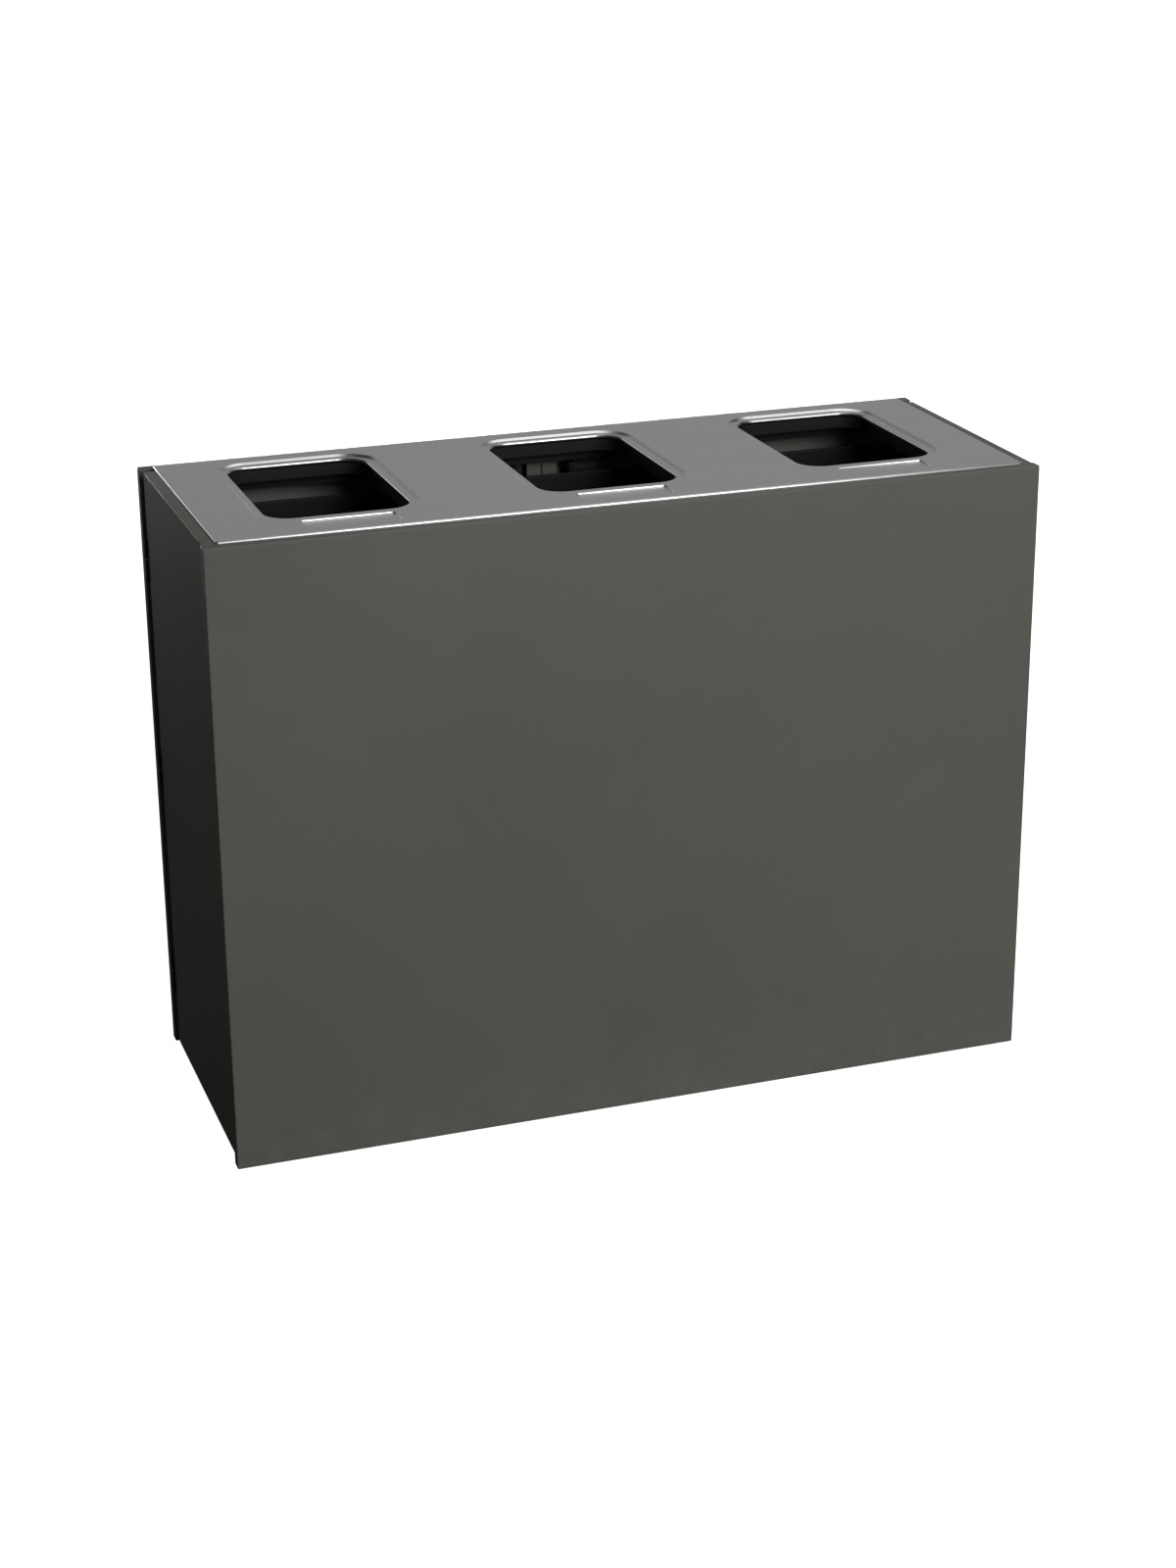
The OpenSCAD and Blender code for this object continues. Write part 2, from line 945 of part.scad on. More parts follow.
module hinge_washers() {
    color(BRASS)
        both_sides()
            for (z = hinge_zs)
                difference() {
                    rod_z([pivot_x, pivot_y, z + knuckle_h], 2 * barrel_r, washer_t);
                    rod_z([pivot_x, pivot_y, z], pin_d + 2 * running_gap, 2 * knuckle_h);
                }
}

module hinge_frame_screws() {
    color(ZINC)
        both_sides()
            for (z = hinge_zs)
                for (dz = leaf_screw_zs)
                    translate([leaf_screw_x, side_rear_y + leaf_t, z + dz])
                        rotate([90, 0, 0])
                            screw(leaf_screw_d, 12, leaf_screw_head_d, bolt_head_h);
}

module door_hinge_screws(side) {
    color(ZINC)
        handed(side)
            for (z = hinge_zs)
                for (dz = leaf_screw_zs)
                    translate([leaf_screw_x, door_in_y - leaf_t, z + upper_knuckle + dz])
                        rotate([-90, 0, 0])
                            screw(leaf_screw_d, 12, leaf_screw_head_d, bolt_head_h);
}

// Rubber buffers on the rear rail and the tray that the closed doors rest near
module door_buffers() {
    color(RUBBER)
        both_sides()
            for (x = buffer_xs)
                for (z = buffer_zs)
                    rod_y([x, side_rear_y, z], buffer_d, door_in_y - side_rear_y - buffer_gap);
}

// Service doors

module door(side) {
    color(PAINT)
        handed(side)
            difference() {
                translate([door_hinge_x, door_out_y, door_bottom_z])
                    rotate([0, 0, 180])
                        pan(door_hinge_x - door_free_x, door_top_z - door_bottom_z, pan_t);
                rod_y([lock_x, door_out_y - over, lock_z], lock_d + 2 * hole_gap, 2 * over);
                for (z = hinge_zs)
                    for (dz = leaf_screw_zs)
                        rod_y([leaf_screw_x, door_in_y - over, z + upper_knuckle + dz],
                              leaf_screw_d + 2 * hole_gap, 2 * over);
            }
}

// Two channels across the inside of a door, their webs on its skin
module door_stiffeners(side) {
    stiffener_w = 40;
    end_gap = 4;
    x0 = door_free_x + lip_w + end_gap;
    x1 = door_hinge_x - lip_w - end_gap;
    color(PAINT)
        handed(side)
            for (z = [rim_z / 3, rim_z * 2 / 3])
                translate([x0, door_out_y - sheet, z + stiffener_w / 2])
                    rotate([0, 90, 0])
                        mirror([0, 1, 0])
                            channel(stiffener_w, pan_t - 2 * sheet, x1 - x0);
}

// Lock: a body through the door's skin, clamped by its nut, with a plug that turns the cam
module lock_body(side) {
    inner_y = side_rear_y + 2;
    color(BLACK)
        handed(side)
            difference() {
                union() {
                    rod_y([lock_x, inner_y, lock_z], lock_d, door_out_y - inner_y);
                    rod_y([lock_x, door_out_y, lock_z], lock_flange_d, lock_proud);
                }
                rod_y([lock_x, inner_y - over, lock_z], plug_d + 2 * running_gap, cabinet_d);
            }
}

module lock_nut(side) {
    color(BLACK)
        handed(side)
            translate([lock_x, door_out_y - sheet, lock_z])
                rotate([90, 0, 0])
                    nut(lock_nut_af, lock_nut_h, lock_d);
}

// The plug has a square key socket at its outer end and a screw hole at its inner end
module lock_plug(side) {
    plug_y0 = cam_y + cam_t;
    plug_y1 = cabinet_d / 2 - plug_sunk;
    color(STAINLESS)
        handed(side)
            difference() {
                rod_y([lock_x, plug_y0, lock_z], plug_d, plug_y1 - plug_y0);
                span([lock_x - key_square / 2, plug_y1 - key_depth, lock_z - key_square / 2],
                     [lock_x + key_square / 2, plug_y1 + over, lock_z + key_square / 2]);
                rod_y([lock_x, plug_y0 - over, lock_z], bolt_d, cam_screw_len + over - cam_t);
            }
}

// The cam lies level when the door is free, and stands behind the rear rail's web when it is locked
module lock_cam(side) {
    color(BLACK)
        handed(side)
            difference() {
                union() {
                    rod_y([lock_x, cam_y, lock_z], cam_w, cam_t);
                    span([lock_x, cam_y, lock_z - cam_w / 2],
                         [lock_x + cam_reach - cam_w / 2, cam_y + cam_t, lock_z + cam_w / 2]);
                    rod_y([lock_x + cam_reach - cam_w / 2, cam_y, lock_z], cam_w, cam_t);
                }
                rod_y([lock_x, cam_y - over, lock_z], bolt_d, 3 * over);
            }
}

module cam_screw(side) {
    color(BLACK)
        handed(side)
            translate([lock_x, cam_y, lock_z])
                rotate([-90, 0, 0])
                    screw(bolt_d, cam_screw_len, bolt_head_d, bolt_head_h);
}

module left_door() {
    door(-1);
}

module left_door_stiffeners() {
    door_stiffeners(-1);
}

module left_hinge_halves() {
    door_hinge_halves(-1);
}

module left_hinge_screws() {
    door_hinge_screws(-1);
}

module left_lock_body() {
    lock_body(-1);
}

module left_lock_nut() {
    lock_nut(-1);
}

module left_lock_plug() {
    lock_plug(-1);
}

module left_lock_cam() {
    lock_cam(-1);
}

module left_cam_screw() {
    cam_screw(-1);
}

module right_door() {
    door(1);
}

module right_door_stiffeners() {
    door_stiffeners(1);
}

module right_hinge_halves() {
    door_hinge_halves(1);
}

module right_hinge_screws() {
    door_hinge_screws(1);
}

module right_lock_body() {
    lock_body(1);
}

module right_lock_nut() {
    lock_nut(1);
}

module right_lock_plug() {
    lock_plug(1);
}

module right_lock_cam() {
    lock_cam(1);
}

module right_cam_screw() {
    cam_screw(1);
}

front_panel();
left_side_wall();
right_side_wall();
base_tray();
tray_edges();
tray_ends();
front_rail();
rear_rail();
rail_flanges();
rail_tabs();
left_partition();
right_partition();
top_plate();
left_chute();
middle_chute();
right_chute();
plate_studs();
plate_pads();
plate_nuts();
front_stiffeners();
panel_bolts();
panel_nuts();
side_bolts();
side_nuts();
partition_rivets();
hinge_frame_halves();
hinge_pins();
hinge_washers();
hinge_frame_screws();
door_buffers();
bin_guides();
foot_pads();
foot_studs();
foot_nuts();
left_bin();
middle_bin();
right_bin();
handle_brackets();
bracket_rivets();
left_door();
left_door_stiffeners();
left_hinge_halves();
left_hinge_screws();
left_lock_body();
left_lock_nut();
left_lock_plug();
left_lock_cam();
left_cam_screw();
right_door();
right_door_stiffeners();
right_hinge_halves();
right_hinge_screws();
right_lock_body();
right_lock_nut();
right_lock_plug();
right_lock_cam();
right_cam_screw();
left_bin_outer_handle();
left_bin_inner_handle();
middle_bin_left_handle();
middle_bin_right_handle();
right_bin_inner_handle();
right_bin_outer_handle();
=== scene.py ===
import json
import math

import bmesh
import bpy
from mathutils import Matrix, Vector


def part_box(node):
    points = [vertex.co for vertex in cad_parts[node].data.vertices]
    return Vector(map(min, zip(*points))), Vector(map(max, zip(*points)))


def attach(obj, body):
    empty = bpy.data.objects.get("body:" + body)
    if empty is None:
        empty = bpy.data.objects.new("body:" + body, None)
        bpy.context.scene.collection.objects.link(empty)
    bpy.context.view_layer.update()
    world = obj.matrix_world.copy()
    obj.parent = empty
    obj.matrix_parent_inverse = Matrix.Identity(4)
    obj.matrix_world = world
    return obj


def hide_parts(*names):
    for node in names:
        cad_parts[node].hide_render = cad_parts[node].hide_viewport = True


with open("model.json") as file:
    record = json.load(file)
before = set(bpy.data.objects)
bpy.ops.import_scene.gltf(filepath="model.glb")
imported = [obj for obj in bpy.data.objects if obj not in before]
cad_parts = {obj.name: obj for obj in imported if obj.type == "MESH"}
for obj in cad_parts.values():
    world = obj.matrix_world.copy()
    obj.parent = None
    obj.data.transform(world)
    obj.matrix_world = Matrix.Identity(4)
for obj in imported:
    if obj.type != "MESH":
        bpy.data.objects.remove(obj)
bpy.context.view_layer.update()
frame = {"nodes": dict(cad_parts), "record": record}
scene = bpy.context.scene
print("frame loaded:", len(frame["nodes"]), "nodes")

mm = 0.001

# camera
cameraSetup = {
    "place": (-1.3011, -3.7910, 1.9471),
    "turn": (69.1709, 0.4474, -19.0947),  # degrees
    "lens": 66.66,
}
cameraData = bpy.data.cameras.new("studioCamera")
cameraData.lens = cameraSetup["lens"]
cameraData.sensor_width = 36
camera = bpy.data.objects.new("studioCamera", cameraData)
camera.location = cameraSetup["place"]
camera.rotation_euler = [math.radians(a) for a in cameraSetup["turn"]]
scene.collection.objects.link(camera)
scene.camera = camera
print("camera set")


# helpers for node groups and materials

def newGroup(name, inputs, outputs):
    group = bpy.data.node_groups.new(name, "ShaderNodeTree")
    for socketName, value in inputs:
        socket = group.interface.new_socket(name=socketName, in_out="INPUT", socket_type="NodeSocketFloat")
        socket.default_value = value
    for socketName, kind in outputs:
        group.interface.new_socket(name=socketName, in_out="OUTPUT", socket_type=kind)
    start = group.nodes.new("NodeGroupInput")
    end = group.nodes.new("NodeGroupOutput")
    return group, start, end


def addNode(tree, kind, inputs=None, **settings):
    node = tree.nodes.new(kind)
    for key, value in settings.items():
        setattr(node, key, value)
    for key, value in (inputs or {}).items():
        if isinstance(value, bpy.types.NodeSocket):
            tree.links.new(value, node.inputs[key])
        else:
            node.inputs[key].default_value = value
    return node


def objectPoint(tree):
    return addNode(tree, "ShaderNodeTexCoord").outputs["Object"]


def ranged(tree, value, low, high, toLow, toHigh):
    return addNode(tree, "ShaderNodeMapRange",
                   {"Value": value, "From Min": low, "From Max": high, "To Min": toLow, "To Max": toHigh}
                   ).outputs["Result"]


# fine skin of a powder coat: rounded pimples with a slow swell under them
def buildPowderSkin():
    group, start, end = newGroup(
        "powderSkin",
        [("Pimple Scale", 900.0), ("Swell Scale", 60.0), ("Swell Share", 0.3)],
        [("Height", "NodeSocketFloat"), ("Speck", "NodeSocketFloat")])
    point = objectPoint(group)
    pimples = addNode(group, "ShaderNodeTexNoise",
                      {"Vector": point, "Scale": start.outputs["Pimple Scale"], "Detail": 2.0,
                       "Roughness": 0.5})
    swell = addNode(group, "ShaderNodeTexNoise",
                    {"Vector": point, "Scale": start.outputs["Swell Scale"], "Detail": 1.0})
    lifted = addNode(group, "ShaderNodeMath",
                     {0: swell.outputs["Fac"], 1: start.outputs["Swell Share"], 2: pimples.outputs["Fac"]},
                     operation="MULTIPLY_ADD")
    speck = ranged(group, pimples.outputs["Fac"], 0.35, 0.68, 0.0, 1.0)
    group.links.new(lifted.outputs[0], end.inputs["Height"])
    group.links.new(speck, end.inputs["Speck"])
    return group


# slow, cloudy change over a large surface, such as handling marks and wiped areas
def buildCloud():
    group, start, end = newGroup(
        "wipedCloud",
        [("Scale", 2.5), ("Low", 0.0), ("High", 1.0)],
        [("Value", "NodeSocketFloat")])
    noise = addNode(group, "ShaderNodeTexNoise",
                    {"Vector": objectPoint(group), "Scale": start.outputs["Scale"], "Detail": 4.0,
                     "Roughness": 0.55, "Distortion": 0.6})
    group.links.new(ranged(group, noise.outputs["Fac"], 0.3, 0.7, start.outputs["Low"],
                           start.outputs["High"]),
                    end.inputs["Value"])
    return group


# brushed lines along X, broken into strokes of different lengths
def buildBrushed():
    group, start, end = newGroup(
        "brushedLines",
        [("Along", 3.0), ("Across", 900.0), ("Low", 0.0), ("High", 1.0)],
        [("Value", "NodeSocketFloat"), ("Height", "NodeSocketFloat")])
    point = objectPoint(group)
    stretch = addNode(group, "ShaderNodeCombineXYZ",
                      {"X": start.outputs["Along"], "Y": start.outputs["Across"],
                       "Z": start.outputs["Across"]})
    lined = addNode(group, "ShaderNodeVectorMath", {0: point, 1: stretch.outputs["Vector"]},
                    operation="MULTIPLY")
    fine = addNode(group, "ShaderNodeTexNoise",
                   {"Vector": lined.outputs["Vector"], "Scale": 1.0, "Detail": 3.0, "Roughness": 0.6})
    wide = addNode(group, "ShaderNodeTexNoise",
                   {"Vector": lined.outputs["Vector"], "Scale": 0.23, "Detail": 1.0})
    both = addNode(group, "ShaderNodeMath", {0: fine.outputs["Fac"], 1: wide.outputs["Fac"]},
                   operation="MULTIPLY")
    group.links.new(ranged(group, both.outputs[0], 0.12, 0.42, start.outputs["Low"],
                           start.outputs["High"]),
                    end.inputs["Value"])
    group.links.new(fine.outputs["Fac"], end.inputs["Height"])
    return group


# settled dust: on faces that look up and near the ground, broken by noise
def buildDust():
    group, start, end = newGroup(
        "settledDust",
        [("Ground Height", 0.12), ("Amount", 0.3)],
        [("Mask", "NodeSocketFloat")])
    point = objectPoint(group)
    height = addNode(group, "ShaderNodeSeparateXYZ", {"Vector": point}).outputs["Z"]
    low = addNode(group, "ShaderNodeMapRange",
                  {"Value": height, "From Min": 0.0, "From Max": start.outputs["Ground Height"],
                   "To Min": 1.0, "To Max": 0.0}).outputs["Result"]
    facing = addNode(group, "ShaderNodeSeparateXYZ",
                     {"Vector": addNode(group, "ShaderNodeNewGeometry").outputs["Normal"]}).outputs["Z"]
    flat = ranged(group, facing, 0.85, 1.0, 0.0, 0.6)
    both = addNode(group, "ShaderNodeMath", {0: low, 1: flat}, operation="MAXIMUM")
    noise = addNode(group, "ShaderNodeTexNoise", {"Vector": point, "Scale": 26.0, "Detail": 6.0,
                                                  "Roughness": 0.65})
    broken = ranged(group, noise.outputs["Fac"], 0.38, 0.72, 0.0, 1.0)
    mask = addNode(group, "ShaderNodeMath", {0: both.outputs[0], 1: broken}, operation="MULTIPLY")
    scaled = addNode(group, "ShaderNodeMath", {0: mask.outputs[0], 1: start.outputs["Amount"]},
                     operation="MULTIPLY")
    group.links.new(scaled.outputs[0], end.inputs["Mask"])
    return group


# crystal patches of a zinc coat
def buildSpangle():
    group, start, end = newGroup(
        "zincSpangle",
        [("Scale", 90.0), ("Low", 0.0), ("High", 1.0)],
        [("Value", "NodeSocketFloat")])
    cells = addNode(group, "ShaderNodeTexVoronoi",
                    {"Vector": objectPoint(group), "Scale": start.outputs["Scale"], "Randomness": 1.0})
    tone = addNode(group, "ShaderNodeSeparateColor", {"Color": cells.outputs["Color"]}).outputs["Red"]
    group.links.new(ranged(group, tone, 0.0, 1.0, start.outputs["Low"],
                           start.outputs["High"]),
                    end.inputs["Value"])
    return group


powderSkin = buildPowderSkin()
wipedCloud = buildCloud()
brushedLines = buildBrushed()
settledDust = buildDust()
zincSpangle = buildSpangle()


def newMaterial(name):
    material = bpy.data.materials.new(name)
    material.use_nodes = True
    tree = material.node_tree
    return material, tree, tree.nodes["Principled BSDF"]


def place(tree, group, inputs=None):
    node = addNode(tree, "ShaderNodeGroup", node_tree=group)
    for key, value in (inputs or {}).items():
        node.inputs[key].default_value = value
    return node


def mixed(tree, amount, first, second):
    return addNode(tree, "ShaderNodeMix", {0: amount, 6: first, 7: second}, data_type="RGBA").outputs[2]


def bumped(tree, shader, height, strength, distance):
    bump = addNode(tree, "ShaderNodeBump", {"Height": height, "Strength": strength, "Distance": distance})
    tree.links.new(bump.outputs["Normal"], shader.inputs["Normal"])


def powderCoat(name, look):
    material, tree, shader = newMaterial(name)
    skin = place(tree, powderSkin, {"Pimple Scale": look["pimples"], "Swell Share": 0.35})
    cloud = place(tree, wipedCloud, {"Scale": look["cloudScale"]})
    dust = place(tree, settledDust, {"Amount": look["dust"]})
    tone = mixed(tree, cloud.outputs["Value"], look["dark"], look["light"])
    specked = mixed(tree, ranged(tree, skin.outputs["Speck"], 0.0, 1.0, 0.0, 0.16), tone, look["speck"])
    dusted = mixed(tree, dust.outputs["Mask"], specked, look["dustColour"])
    tree.links.new(dusted, shader.inputs["Base Color"])
    rough = ranged(tree, cloud.outputs["Value"], 0.0, 1.0, look["rough"][0], look["rough"][1])
    rougher = addNode(tree, "ShaderNodeMath", {0: dust.outputs["Mask"], 1: 0.4, 2: rough},
                      operation="MULTIPLY_ADD")
    tree.links.new(rougher.outputs[0], shader.inputs["Roughness"])
    shader.inputs["Specular IOR Level"].default_value = look["gloss"]
    bumped(tree, shader, skin.outputs["Height"], look["bump"], 0.0004)
    return material


cabinetLook = {
    "dark": (0.088, 0.093, 0.080, 1), "light": (0.100, 0.106, 0.091, 1), "speck": (0.122, 0.128, 0.112, 1),
    "dustColour": (0.30, 0.29, 0.26, 1), "dust": 0.10, "pimples": 1100, "cloudScale": 2.2,
    "rough": (0.46, 0.52), "gloss": 0.16, "bump": 0.14,
}
# black powder coat: a plain black finish on the lock parts, and painted shade on the chute collars, rails,
# partitions, rivets, bins, handles, handle brackets and hinge leaves, darkening them to the shade inside
# the cabinet
blackCoatAndShadeLook = {
    "dark": (0.010, 0.010, 0.010, 1), "light": (0.014, 0.014, 0.014, 1), "speck": (0.026, 0.026, 0.026, 1),
    "dustColour": (0.16, 0.155, 0.14, 1), "dust": 0.10, "pimples": 800, "cloudScale": 3.5,
    "rough": (0.54, 0.66), "gloss": 0.12, "bump": 0.25,
}
cabinetPaint = powderCoat("cabinetPaint", cabinetLook)
blackPaint = powderCoat("blackPaint", blackCoatAndShadeLook)


def brushedSteel(name, look):
    material, tree, shader = newMaterial(name)
    lines = place(tree, brushedLines, {"Along": look["along"], "Across": look["across"]})
    cloud = place(tree, wipedCloud, {"Scale": 3.0})
    tone = mixed(tree, lines.outputs["Value"], look["dark"], look["light"])
    tree.links.new(tone, shader.inputs["Base Color"])
    shader.inputs["Metallic"].default_value = 1.0
    shader.inputs["Anisotropic"].default_value = look["anisotropic"]
    base = ranged(tree, cloud.outputs["Value"], 0.0, 1.0, look["rough"][0], look["rough"][1])
    lined = addNode(tree, "ShaderNodeMath", {0: lines.outputs["Value"], 1: look["lineRough"], 2: base},
                    operation="MULTIPLY_ADD")
    tree.links.new(lined.outputs[0], shader.inputs["Roughness"])
    bumped(tree, shader, lines.outputs["Height"], look["bump"], 0.0001)
    return material


plateLook = {
    "dark": (0.46, 0.46, 0.462, 1), "light": (0.53, 0.53, 0.53, 1), "along": 5.0, "across": 1800.0,
    "rough": (0.27, 0.30), "lineRough": 0.03, "bump": 0.05, "anisotropic": 0.0,
}
turnedLook = {
    "dark": (0.50, 0.50, 0.50, 1), "light": (0.63, 0.63, 0.62, 1), "along": 160.0, "across": 1600.0,
    "rough": (0.20, 0.28), "lineRough": 0.06, "bump": 0.08, "anisotropic": 0.0,
}
stainless = brushedSteel("brushedStainless", plateLook)
turnedSteel = brushedSteel("turnedStainless", turnedLook)


def zincPlated(name, look):
    material, tree, shader = newMaterial(name)
    spangle = place(tree, zincSpangle, {"Scale": look["spangle"]})
    cloud = place(tree, wipedCloud, {"Scale": 14.0})
    tone = mixed(tree, spangle.outputs["Value"], look["dark"], look["light"])
    stain = ranged(tree, cloud.outputs["Value"], 0.0, 1.0, 0.0, look["stain"])
    stained = mixed(tree, stain, tone, look["stainColour"])
    tree.links.new(stained, shader.inputs["Base Color"])
    shader.inputs["Metallic"].default_value = 1.0
    tree.links.new(ranged(tree, cloud.outputs["Value"], 0.0, 1.0, look["rough"][0], look["rough"][1]),
                   shader.inputs["Roughness"])
    bumped(tree, shader, spangle.outputs["Value"], look["bump"], 0.00005)
    return material


zinc = zincPlated("zincPlate", {
    "dark": (0.52, 0.53, 0.55, 1), "light": (0.66, 0.67, 0.68, 1), "spangle": 420, "stain": 0.22,
    "stainColour": (0.45, 0.44, 0.36, 1), "rough": (0.28, 0.44), "bump": 0.15})
brass = zincPlated("washerBrass", {
    "dark": (0.60, 0.42, 0.17, 1), "light": (0.74, 0.55, 0.25, 1), "spangle": 600, "stain": 0.35,
    "stainColour": (0.36, 0.25, 0.12, 1), "rough": (0.24, 0.40), "bump": 0.1})


def rubberCompound(name, look):
    material, tree, shader = newMaterial(name)
    skin = place(tree, powderSkin, {"Pimple Scale": look["grain"], "Swell Share": 0.5})
    dust = place(tree, settledDust, {"Ground Height": 0.03, "Amount": look["dust"]})
    tone = mixed(tree, skin.outputs["Speck"], look["dark"], look["light"])
    tree.links.new(mixed(tree, dust.outputs["Mask"], tone, look["dustColour"]), shader.inputs["Base Color"])
    tree.links.new(ranged(tree, skin.outputs["Speck"], 0.0, 1.0, 0.62, 0.8), shader.inputs["Roughness"])
    shader.inputs["Specular IOR Level"].default_value = 0.3
    bumped(tree, shader, skin.outputs["Height"], 0.3, 0.0003)
    return material


rubber = rubberCompound("rubberPad", {
    "dark": (0.014, 0.014, 0.014, 1), "light": (0.028, 0.027, 0.026, 1), "dustColour": (0.2, 0.19, 0.17, 1),
    "grain": 1300, "dust": 0.5})
finish = {"cabinet_paint": cabinetPaint, "black_paint": blackPaint, "stainless": stainless, "zinc": zinc,
          "brass": brass, "rubber": rubber}
print("materials made:", len(bpy.data.materials))


# mesh helpers

# outline of a rectangle with rounded corners, as a ring of edges that remembers its corners
def startRing(bm, size, centre, inset, radius, height, steps):
    side = bm.verts.layers.float_vector.get("side") or bm.verts.layers.float_vector.new("side")
    lean = bm.verts.layers.float_vector.get("lean") or bm.verts.layers.float_vector.new("lean")
    halfX, halfY = size[0] / 2 - inset, size[1] / 2 - inset
    grid = bmesh.ops.create_grid(bm, x_segments=1, y_segments=1, size=0.5,
                                 matrix=Matrix.Diagonal((2 * halfX, 2 * halfY, 1, 1)))
    rounded = bmesh.ops.bevel(bm, geom=grid["verts"], offset=radius, offset_type="OFFSET", segments=steps,
                              profile=0.5, affect="VERTICES", material=-1)
    corners = set(rounded["verts"])
    face = next(iter(next(iter(corners)).link_faces))
    ring = list(face.edges)
    bmesh.ops.delete(bm, geom=[face], context="FACES_ONLY")
    for vert in corners:
        sx, sy = math.copysign(1, vert.co.x), math.copysign(1, vert.co.y)
        core = Vector((sx * (halfX - radius), sy * (halfY - radius), 0))
        vert[side] = (sx, sy, 0)
        vert[lean] = (vert.co - core).normalized()
        vert.co += Vector((centre[0], centre[1], height))
    return ring


# carries a ring through a section; each row is inset, corner radius, height
def followSection(bm, ring, size, centre, section):
    side = bm.verts.layers.float_vector["side"]
    lean = bm.verts.layers.float_vector["lean"]
    for inset, radius, height in section:
        grown = bmesh.ops.extrude_edge_only(bm, edges=ring)["geom"]
        fresh = {part for part in grown if isinstance(part, bmesh.types.BMVert)}
        ring = [part for part in grown if isinstance(part, bmesh.types.BMEdge)
                and part.verts[0] in fresh and part.verts[1] in fresh]
        for vert in fresh:
            s, d = vert[side], vert[lean]
            vert.co = Vector((centre[0] + s.x * (size[0] / 2 - inset - radius) + d.x * radius,
                              centre[1] + s.y * (size[1] / 2 - inset - radius) + d.y * radius, height))
    return ring


# quarter turn between two straight runs of a section, as inset and height pairs
def quarter(start, end, bulge, steps=4):
    rows = []
    for step in range(1, steps + 1):
        a = math.pi / 2 * step / steps
        along, down = math.sin(a), 1 - math.cos(a)
        if bulge != "first":
            along, down = down, along
        rows.append((start[0] + (end[0] - start[0]) * along, start[1] + (end[1] - start[1]) * down))
    return rows


def concentric(rows, outerRadius):
    return [(inset, max(outerRadius - inset, 0.0002), height) for inset, height in rows]


def fillFlat(bm, edges, normal):
    bmesh.ops.triangle_fill(bm, use_beauty=True, use_dissolve=False, edges=edges, normal=normal)


# turns all faces of an open sheet so that its largest face looks along a direction
def faceAlong(bm, direction):
    bmesh.ops.recalc_face_normals(bm, faces=bm.faces)
    largest = max(bm.faces, key=lambda face: face.calc_area())
    if largest.normal.dot(Vector(direction)) < 0:
        bmesh.ops.reverse_faces(bm, faces=bm.faces)


def closeUp(bm):
    bmesh.ops.remove_doubles(bm, verts=bm.verts, dist=0.000005)
    bmesh.ops.recalc_face_normals(bm, faces=bm.faces)


def finishPiece(bm, name, slot, body, replaced, material=None, sharp=40, wall=0, wallSide=-1):
    mesh = bpy.data.meshes.new(name)
    bm.to_mesh(mesh)
    bm.free()
    mesh.shade_smooth()
    mesh.set_sharp_from_angle(angle=math.radians(sharp))
    mesh.materials.append(material or finish[slot])
    piece = bpy.data.objects.new(name, mesh)
    scene.collection.objects.link(piece)
    if wall:
        solid = piece.modifiers.new("sheetWall", "SOLIDIFY")
        solid.thickness = wall
        solid.offset = wallSide
        solid.use_even_offset = True
    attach(piece, body)
    if replaced:
        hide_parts(*replaced)
    return piece


# box round one or more nodes, as its corners, middle and size
def boxOf(*nodes):
    corners = [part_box(node) for node in nodes]
    low = Vector([min(pair[0][k] for pair in corners) for k in range(3)])
    high = Vector([max(pair[1][k] for pair in corners) for k in range(3)])
    return low, high, (low + high) / 2, high - low


# folded panel: skin at z = 0 facing -Z, edges folded to z = depth, lips round the open back
panelFold = {"corner": 1.8 * mm, "bend": 1.3 * mm, "sheet": 1.5 * mm, "lip": 22 * mm, "support": 4 * mm}


def foldedPanel(name, body, node, width, height, depth, matrix, hole=None):
    corner, bend, lip = panelFold["corner"], panelFold["bend"], panelFold["lip"]
    bm = bmesh.new()
    size = (width, height)
    ring = startRing(bm, size, (0, 0), bend + panelFold["support"], 1.0 * mm, 0, 4)
    skinEdges = list(ring)
    rows = [(bend, corner - bend, 0)]
    rows += concentric(quarter((bend, 0), (0, bend), "first"), corner)
    rows += [(0, corner, bend + 1 * mm), (0, corner, depth - bend - 1 * mm), (0, corner, depth - bend)]
    rows += concentric(quarter((0, depth - bend), (bend, depth), "second"), corner)
    rows += [(bend + 1 * mm, 0.6 * mm, depth), (lip - 1 * mm, 1.5 * mm, depth), (lip, 1.5 * mm, depth)]
    followSection(bm, ring, size, (0, 0), rows)
    if hole:
        lockHole = bmesh.ops.create_circle(bm, segments=32, radius=hole[2],
                                           matrix=Matrix.Translation((hole[0], hole[1], 0)))
        skinEdges += list({edge for vert in lockHole["verts"] for edge in vert.link_edges})
    fillFlat(bm, skinEdges, (0, 0, -1))
    faceAlong(bm, (0, 0, -1))
    bm.transform(matrix)
    if matrix.determinant() < 0:
        bmesh.ops.reverse_faces(bm, faces=bm.faces)
    return finishPiece(bm, name, "cabinet_paint", body, [node], wall=panelFold["sheet"])


def columns(x, y, z, origin):
    return Matrix(((x[0], y[0], z[0], origin[0]), (x[1], y[1], z[1], origin[1]),
                   (x[2], y[2], z[2], origin[2]), (0, 0, 0, 1)))


